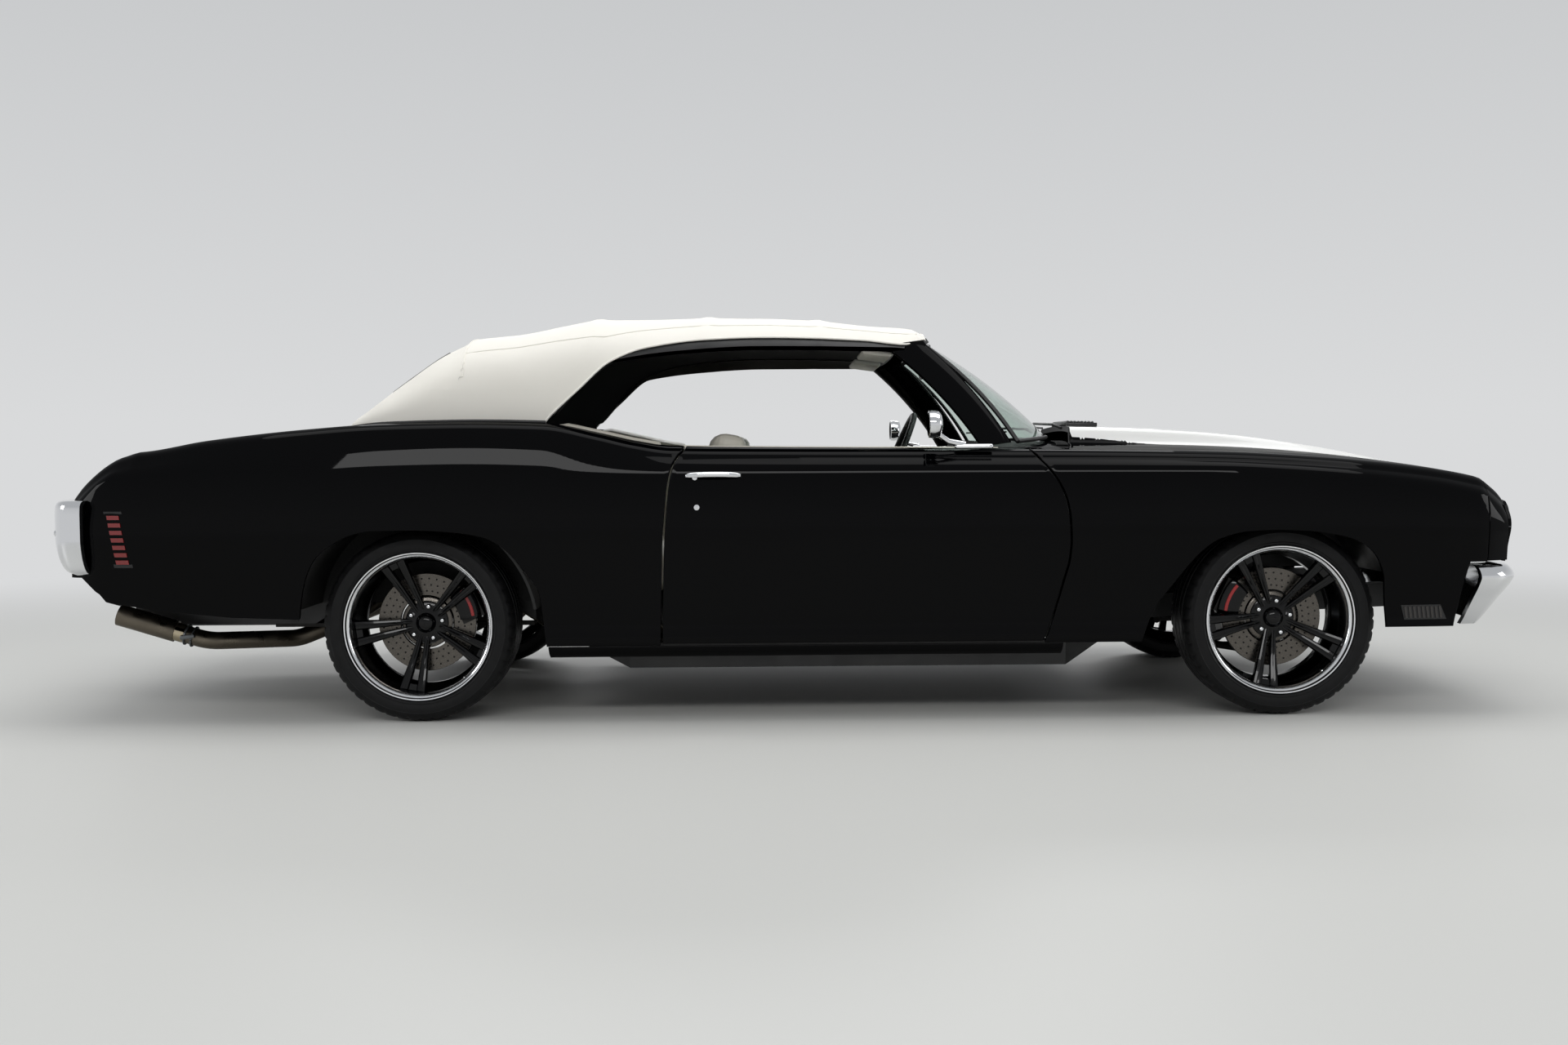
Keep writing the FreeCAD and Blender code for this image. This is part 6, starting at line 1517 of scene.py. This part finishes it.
VENT_MIDDLE = 1.088
vent = []
for k in range(8):
    x = 1.040 + 0.013 * k
    z = hood_at(x, 0).z
    vent.append(rounded_box((0.008, 0.32, 0.016), (x, 0, z + 0.010), 0.002, 2, tilt=-30))
vent.append(rounded_box((0.006, 0.33, 0.012), (1.034, 0, hood_at(1.05, 0).z + 0.008), 0.002, 2))
vent.append(rounded_box((0.006, 0.33, 0.012), (1.142, 0, hood_at(1.14, 0).z + 0.004), 0.002, 2))
for y in (-0.163, 0.163):
    vent.append(rounded_box((0.114, 0.006, 0.014), (VENT_MIDDLE, y, hood_at(1.09, 0.16).z + 0.006), 0.002, 2))
make("hood_vent_slats", *merge(vent), SATIN_BLACK, "hood")
# The vent's floor is a thin plate of painted shade under the slats, for the unlit depth of the opening.
vent_floor = rounded_box((0.106, 0.32, 0.004), (VENT_MIDDLE, 0, hood_at(1.09, 0).z + 0.001), 0.001, 1)
make("hood_vent_floor", *vent_floor, PAINTED_SHADE_BLACK, "hood")

# Door furniture, mirrors and markers.
HANDLE_REAR, HANDLE_LENGTH, HANDLE_HEIGHT = -0.335, 0.178, 0.8065
handle = []
for k in range(13):
    f = k / 12
    x = HANDLE_REAR + HANDLE_LENGTH * f
    lift = 0.006 + 0.020 * math.sin(math.pi * min(max((f - 0.04) / 0.92, 0), 1)) ** 0.5
    p = on_side(x, HANDLE_HEIGHT, lift)
    size = 0.0085 if 0 < k < 12 else 0.005
    handle.append([p + Vector((0, 0.6 * size * c, size * s)) for c, s in circle(12)])
button = turned(((POINT, -0.010), (0.008, -0.009), (0.009, 0.004)), 18, on_side(-0.305, 0.800, 0.010))
lock = turned(((POINT, -0.004), (0.009, -0.003), (0.0115, 0.002)), 20, on_side(-0.2995, 0.706, 0.0))
both("door_handle_", merge([skinned(handle), button, lock]), CHROME, "door_")

MIRROR_SIDE, MIRROR_HEIGHT = -0.926, 0.969


def mirror_ring(x, half_width, half_height):
    """Oval ring round the mirror head's axis."""
    return [Vector((x, MIRROR_SIDE + half_width * c, MIRROR_HEIGHT + half_height * s)) for c, s in circle(40)]


HEAD_RUN = ((0.4530, 0.90), (0.4545, 0.97), (0.466, 1.0), (0.484, 0.96), (0.4935, 0.80), (0.4975, 0.45),
            (0.4985, 0.02))
head = skinned([mirror_ring(x, 0.060 * size, 0.045 * size) for x, size in HEAD_RUN])
glass_face = skinned([mirror_ring(0.4526, 0.052 * k, 0.038 * k) for k in (1.0, 0.02)])
neck = tube([(0.478, -0.905, 0.944), (0.520, -0.890, 0.914), (0.575, -0.876, 0.902)],
            [0.0085, 0.0095, 0.012], 14)
mount = rounded_box((0.125, 0.036, 0.016), (0.606, -0.874, 0.8965), 0.007)
both("mirror_shell_", merge([head, neck, mount]), CHROME, "door_", "mirror_")
both("mirror_face_", glass_face, CHROME, "door_")


def side_plate(corners, lift, depth):
    """Flat plate on the body side from (x, z) corners, standing proud of it."""
    front = [on_side(x, z, lift) for x, z in corners]
    back = [on_side(x, z, lift - depth) for x, z in corners]
    return skinned([front, back])


frame_box = [(-2.243, 0.706), (-2.182, 0.706), (-2.150, 0.522), (-2.214, 0.522)]
pair("rear_marker_frame", side_plate(frame_box, 0.0012, 0.006), SATIN_BLACK, "car_body")
louvres = []
for k in range(7):
    (x0, x1, z0), (x2, x3, z1) = [(-2.233 + 0.029 * f, -2.192 + 0.031 * f, 0.698 - 0.170 * f)
                                  for f in ((k + 0.22) / 7, (k + 0.78) / 7)]
    louvres.append(side_plate([(x0, z0), (x1, z0), (x3, z1), (x2, z1)], 0.003, 0.006))
pair("rear_marker_louvres", merge(louvres), RED_LENS, "car_body")
marker = [(2.000, 0.366), (2.135, 0.366), (2.157, 0.318), (2.012, 0.318)]
pair("front_marker_frame", side_plate(marker, 0.0015, 0.006), SATIN_BLACK, "car_body")
ribs = []
for k in range(9):
    x = 2.010 + 0.0148 * k
    corners = [(x, 0.361), (x + 0.008, 0.361), (x + 0.013, 0.323), (x + 0.005, 0.323)]
    ribs.append(side_plate(corners, 0.0035, 0.005))
pair("front_marker_ribs", merge(ribs), AMBER_LENS, "car_body")

# Lamps and grille.
rims, bowls, panes = [], [], []
for y, z in LAMPS:
    x = nose_face(y, z).x
    rims.append(turned(((0.074, x - 0.010), (0.074, x + 0.003), (0.0715, x + 0.005), (0.068, x + 0.001),
                        (0.068, x - 0.012)), 48, (0, -y, z), "X"))
    bowls.append(turned(((POINT, x - 0.060), (0.030, x - 0.056), (0.055, x - 0.036), (0.068, x - 0.010)), 40,
                        (0, -y, z), "X"))
    panes.append(turned(((POINT, x + 0.003), (0.030, x + 0.001), (0.055, x - 0.005), (0.068, x - 0.012),
                         (0.066, x - 0.015), (0.030, x - 0.004), (POINT, x - 0.002)), 40, (0, -y, z), "X"))
pair("headlamp_rings", merge(rims), CHROME, "car_body", replaces="headlamps")
pair("headlamp_bowls", merge(bowls), CHROME, "car_body")
pair("headlamp_lenses", merge(panes), LENS, "car_body")
corners = [(-0.470, 0.541), (0.470, 0.541), (0.470, 0.679), (-0.470, 0.679)]
surround = []
for a, b in zip(corners, corners[1:] + corners[:1]):
    points = [nose_face(*p) + Vector((0.001, 0, 0)) for p in divided(a, b, 16) + [b]]
    surround.append(tube(points, 0.006, 8))
make("grille_surround", *merge(surround), CHROME, "car_body")
bars = []
for k in range(9):
    z = 0.552 + 0.0145 * k
    points = [nose_face(y, z) + Vector((-0.020, 0, 0)) for y in np.linspace(-0.463, 0.463, 25)]
    bars.append(tube(points, 0.0030 if k != 4 else 0.006, 6))
for k in range(33):
    y = -0.448 + 0.028 * k
    bars.append(tube([nose_face(y, z) + Vector((-0.028, 0, 0)) for z in (0.546, 0.61, 0.674)], 0.0022, 5))
make("grille_mesh", *merge(bars), SATIN_BLACK, "car_body")

# Exhaust tips.
TIP_SIDE = -0.640
TIP_TURN_OUT = -0.0128
CLAMP_RADIUS = 0.0335
axis = Vector((along(-0.375) - along(-0.27), TIP_TURN_OUT, (0.385 - 0.28) * BELT_HEIGHT)).normalized()
tip_end = Vector((along(-0.375), TIP_SIDE, high(0.385)))
sideways = Vector((0, 1, 0))
upright = axis.cross(sideways).normalized()
rings = []
for back, radius in ((0.235, 0.0290), (0.225, 0.0318), (0.020, 0.0318), (0.004, 0.0325), (0.0, 0.0318),
                     (0.0, 0.0282), (0.006, 0.0272), (0.12, 0.0262)):
    centre = tip_end - axis * back
    rings.append([centre + upright * radius * c + sideways * radius * s for c, s in circle(36)])
pair("exhaust_tips", skinned(rings, close_ends=False), TIP_STEEL, "car_body")
clamps = []
for back in (0.238, 0.262):
    centre = tip_end - axis * back
    ring = [centre + upright * CLAMP_RADIUS * c + sideways * CLAMP_RADIUS * s
            for c, s in circle(28) + circle(28)[:1]]
    clamps.append(tube(ring, 0.0035, 6))
lug_place = tip_end - axis * 0.25 + Vector((0, -0.036, 0))
clamps.append(rounded_box((0.05, 0.014, 0.014), lug_place, 0.004, 2, tilt=-8))
pair("exhaust_clamps", merge(clamps), TANK_STEEL, "car_body")

# Interior.
DOOR_RIM = 0.022
TRIM_REAR, TRIM_FRONT = -0.352, 0.700
rings = []
for k in range(25):
    x = TRIM_REAR + (TRIM_FRONT - TRIM_REAR) * k / 24
    z = plan_point(x, 0.78).z + 0.001
    rings.append([Vector((x, -0.768, z)), Vector((x, -0.745, z + 0.003)), Vector((x, -0.722, z - 0.006)),
                  Vector((x, -0.716, z - 0.050)), Vector((x, -0.722, 0.42)), Vector((x, -0.768, 0.42))])
trim = skinned(rings)
rest = rounded_box((0.42, 0.060, 0.050), (0.20, -0.700, 0.660), 0.020)
both("door_trim_", merge([trim, rest]), VINYL, "door_")
rear_by_height = sorted((z, x) for x, z in DOOR_REAR)
front_by_height = sorted((z, x) for x, z in DOOR_FRONT)


def door_place(z, share):
    """Place along the door at a height, from its rear edge to its front one."""
    rear, front = follow(rear_by_height, z) + DOOR_RIM, follow(front_by_height, z) - DOOR_RIM
    return rear + (front - rear) * share


rings = []
for k in range(31):
    ring = []
    for z in (0.282, 0.40, 0.52, 0.64, 0.75, 0.82, 0.845):
        x = door_place(z, k / 30)
        ring.append(Vector((x, body_at(x, w_of_z(x, z)).y + DOOR_RIM, z)))
    ring += [Vector((door_place(z, k / 30), -0.766, z)) for z in (0.845, 0.56, 0.282)]
    rings.append(ring)
both("door_shell_", skinned(rings), BLACK_PAINT, "door_", sharp=30)
rings = []
for k in range(25):
    x = -1.10 + (-0.430 + 1.10) * k / 24
    z = plan_point(x, 0.775).z + 0.007 - 0.022 * ramp((-0.74 - x) / 0.06)
    foot = 0.52 + 0.24 * ramp((-0.66 - x) / 0.08)
    rings.append([Vector((x, -0.748, z)), Vector((x, -0.725, z + 0.003)), Vector((x, -0.702, z - 0.008)),
                  Vector((x, -0.690, z - 0.060)), Vector((x, -0.690, foot)), Vector((x, -0.748, foot))])
pair("rear_side_trim", skinned(rings), VINYL, "car_body")


# Pleats: how far they reach across and along a pad, in half sizes, where they lie above its middle, how deep
# they are in metres, and how fast they fade at their ends.
PLEAT_ACROSS, PLEAT_ALONG, PLEAT_ABOVE, PLEAT_DEPTH, PLEAT_FADE = 0.72, 0.9, 0.3, 0.008, 8
SEAT_SIDE = 0.41


def cushion(size, centre, tilt, pleats, puff, radius, squeeze=0.0):
    """A pleated pad: a rounded box with crowned faces and sewn channels along it, tilted about Y."""
    lx, ly, lz = size
    shape = bevelled(size, radius, 3)
    for axis, cuts in ((0, 20), (1, 26), (2, 10)):
        for k in range(1, cuts):
            place = [0, 0, 0]
            place[axis] = size[axis] * (k / cuts - 0.5)
            normal = [0, 0, 0]
            normal[axis] = 1
            whole = shape.verts[:] + shape.edges[:] + shape.faces[:]
            bmesh.ops.bisect_plane(shape, geom=whole, plane_co=place, plane_no=normal)
    for v in shape.verts:
        a, b, c = v.co.x / (lx / 2), v.co.y / (ly / 2), v.co.z / (lz / 2)
        crown = max(0, 1 - a * a) * max(0, 1 - b * b)
        v.co.z += puff * crown * (1 if c > 0 else -0.15)
        if pleats and abs(b) < PLEAT_ACROSS and c > PLEAT_ABOVE and abs(a) < PLEAT_ALONG:
            wave = abs(math.sin(math.pi * pleats * (b + PLEAT_ACROSS) / (2 * PLEAT_ACROSS)))
            v.co.z -= PLEAT_DEPTH * (1 - wave ** 0.5) * min(1, (PLEAT_ALONG - abs(a)) * PLEAT_FADE)
        v.co.y *= 1 - squeeze * a * a * 0.5
        v.co.x *= 1 - squeeze * b * b * 0.3
    return placed(shape, centre, tilt)


for hand, y in (("right", -SEAT_SIDE), ("left", SEAT_SIDE)):
    base = cushion((0.50, 0.46, 0.13), (0.075, y, 0.435), -6, 7, 0.030, 0.030, 0.05)
    back_rest = cushion((0.46, 0.45, 0.10), (-0.160, y, 0.655), -76, 7, 0.026, 0.030, 0.12)
    head_rest = cushion((0.12, 0.25, 0.105), (-0.208, y, 0.886), -80, 0, 0.022, 0.034, 0.10)
    shell = rounded_box((0.48, 0.43, 0.10), (0.06, y, 0.340), 0.020, 2)
    for name, part, fill in (("seat_cushion_", base, 0.8), ("seat_back_", back_rest, 0.8),
                             ("head_restraint_", head_rest, 0.9)):
        piece = make(name + hand, *part, VINYL, "car_body", sharp=60)
        if name == "seat_cushion_":
            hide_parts("seat_" + hand)
    make("seat_plinth_" + hand, *shell, PLASTIC, "car_body")
rear_base = cushion((0.46, 1.12, 0.14), (-0.66, 0, 0.455), -4, 15, 0.022, 0.030, 0.02)
rear_back = cushion((0.42, 1.12, 0.12), (-0.855, 0, 0.660), -74, 15, 0.020, 0.030, 0.02)
for name, part in (("rear_seat_cushion", rear_base), ("rear_seat_back", rear_back)):
    piece = make(name, *part, VINYL, "car_body", sharp=60)
    if name == "rear_seat_cushion":
        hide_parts("rear_seat")


# Floor, light and camera.
FLOOR_REACH = 60
HAZE_FROM, HAZE_TO = 3.2, 8.0  # where the floor starts to fade into the background, and where it has
BACKGROUND = "D9DADB"


def backdrop_rays(tree):
    """One where a ray shows the background: seen directly, in a reflection or through glass."""
    rays = add(tree, "ShaderNodeLightPath").outputs
    shown = rays["Is Camera Ray"]
    for kind in ("Is Glossy Ray", "Is Transmission Ray"):
        larger = add(tree, "ShaderNodeMath", [(0, shown), (1, rays[kind])], operation="MAXIMUM")
        shown = larger.outputs["Value"]
    return shown


scene = bpy.context.scene
floor_mesh = bpy.data.meshes.new("studio_floor")
floor_corners = [(x * FLOOR_REACH, y * FLOOR_REACH, 0) for x, y in ((-1, -1), (1, -1), (1, 1), (-1, 1))]
floor_mesh.from_pydata(floor_corners, [], [(0, 1, 2, 3)])
# Pale studio floor: a plain half-matt coat that shows a soft shadow under the car and, away from it, fades
# into the background's colour, so that the eye sees no edge between floor and wall.
look = bpy.data.materials.new("pale_studio_floor")
look.use_nodes = True
tree = look.node_tree
shader = tree.nodes["Principled BSDF"]
shader.inputs["Base Color"].default_value = linear("D2D2CE")
shader.inputs["Roughness"].default_value = 0.5
shows = backdrop_rays(tree)
where = add(tree, "ShaderNodeNewGeometry")
middle = add(tree, "ShaderNodeVectorMath", [(0, where.outputs["Position"])], operation="LENGTH")
far = add(tree, "ShaderNodeMapRange", [("Value", middle.outputs["Value"])], interpolation_type="SMOOTHSTEP")
far.inputs["From Min"].default_value = HAZE_FROM
far.inputs["From Max"].default_value = HAZE_TO
haze = add(tree, "ShaderNodeEmission")
haze.inputs["Color"].default_value = linear(BACKGROUND)
share = add(tree, "ShaderNodeMath", [(0, far.outputs["Result"]), (1, shows)], operation="MULTIPLY")
fade_out = add(tree, "ShaderNodeMixShader", [("Fac", share.outputs["Value"])])
tree.links.new(shader.outputs["BSDF"], fade_out.inputs[1])
tree.links.new(haze.outputs["Emission"], fade_out.inputs[2])
tree.links.new(fade_out.outputs["Shader"], tree.nodes["Material Output"].inputs["Surface"])
floor_mesh.materials.append(look)
floor = bpy.data.objects.new("studio_floor", floor_mesh)
scene.collection.objects.link(floor)


# Softboxes: name, place, target, size across and along, power.
SOFTBOXES = (
    ("overhead_softbox", (0.2, -0.4, 4.4), (0.2, -0.2, 0), 7.0, 2.6, 112),
    ("side_softbox", (-0.2, -8.4, 5.2), (0, 0, 0.5), 8.0, 1.2, 230),
    ("far_softbox", (-0.2, 8.4, 5.2), (0, 0, 0.5), 8.0, 1.2, 180),
    ("nose_softbox", (8.0, -2.0, 2.6), (1.5, 0, 0.6), 2.4, 2.4, 90),
    ("tail_softbox", (-8.0, -2.0, 2.6), (-1.5, 0, 0.6), 2.4, 2.4, 90))
for name, place, target, size_x, size_y, power in SOFTBOXES:
    data = bpy.data.lights.new(name, "AREA")
    data.shape = "RECTANGLE"
    data.size = size_x
    data.size_y = size_y
    data.energy = power
    box = bpy.data.objects.new(name, data)
    scene.collection.objects.link(box)
    box.location = place
    box.rotation_euler = (Vector(target) - Vector(place)).to_track_quat("-Z", "Y").to_euler()

world = bpy.data.worlds.new("studio")
scene.world = world
world.use_nodes = True
tree = world.node_tree
tree.nodes.clear()
place = add(tree, "ShaderNodeTexCoord")
split = add(tree, "ShaderNodeSeparateXYZ", [("Vector", place.outputs["Generated"])])
# Two shades by height: a dim sky that lights the car's matt faces, and a pale wall that is seen, also in
# reflections and through glass.
SKY = ((0.10, "3C3E41"), (0.70, "C9CBCE"))
WALL = ((0.02, BACKGROUND), (0.42, "BCBEC0"))
shades = []
for stops, strength in ((SKY, 0.9), (WALL, 1.0)):
    by_height = add(tree, "ShaderNodeValToRGB", [("Fac", split.outputs["Z"])])
    for element, (position, code) in zip(by_height.color_ramp.elements, stops):
        element.position = position
        element.color = linear(code)
    shades.append(add(tree, "ShaderNodeBackground", [("Color", by_height.outputs["Color"])],
                      Strength=strength))
pick = add(tree, "ShaderNodeMixShader", [("Fac", backdrop_rays(tree))])
for number, shade in enumerate(shades):
    tree.links.new(shade.outputs["Background"], pick.inputs[number + 1])
add(tree, "ShaderNodeOutputWorld", [("Surface", pick.outputs["Shader"])])

# The camera as it was fitted to the photo, in radians, metres and millimetres.
YAW, PITCH, ROLL = 0.0030, -0.0439, 0.0079
CAMERA_PLACE = (-0.0337, -6.3298, 0.89155)
SENSOR_WIDTH, LENS_LENGTH = 36, 38.25
ahead = Vector((math.sin(YAW) * math.cos(PITCH), math.cos(YAW) * math.cos(PITCH), math.sin(PITCH)))
level = Vector((math.cos(YAW), -math.sin(YAW), 0))
upright = level.cross(ahead)
right = level * math.cos(ROLL) - upright * math.sin(ROLL)
up = level * math.sin(ROLL) + upright * math.cos(ROLL)
lens = bpy.data.cameras.new("photo_camera")
lens.sensor_width = SENSOR_WIDTH
lens.lens = LENS_LENGTH
lens.dof.use_dof = False
camera = bpy.data.objects.new("photo_camera", lens)
scene.collection.objects.link(camera)
camera.matrix_world = Matrix.Translation(CAMERA_PLACE) @ Matrix((right, up, -ahead)).transposed().to_4x4()
scene.camera = camera
scene.view_settings.view_transform = "Standard"
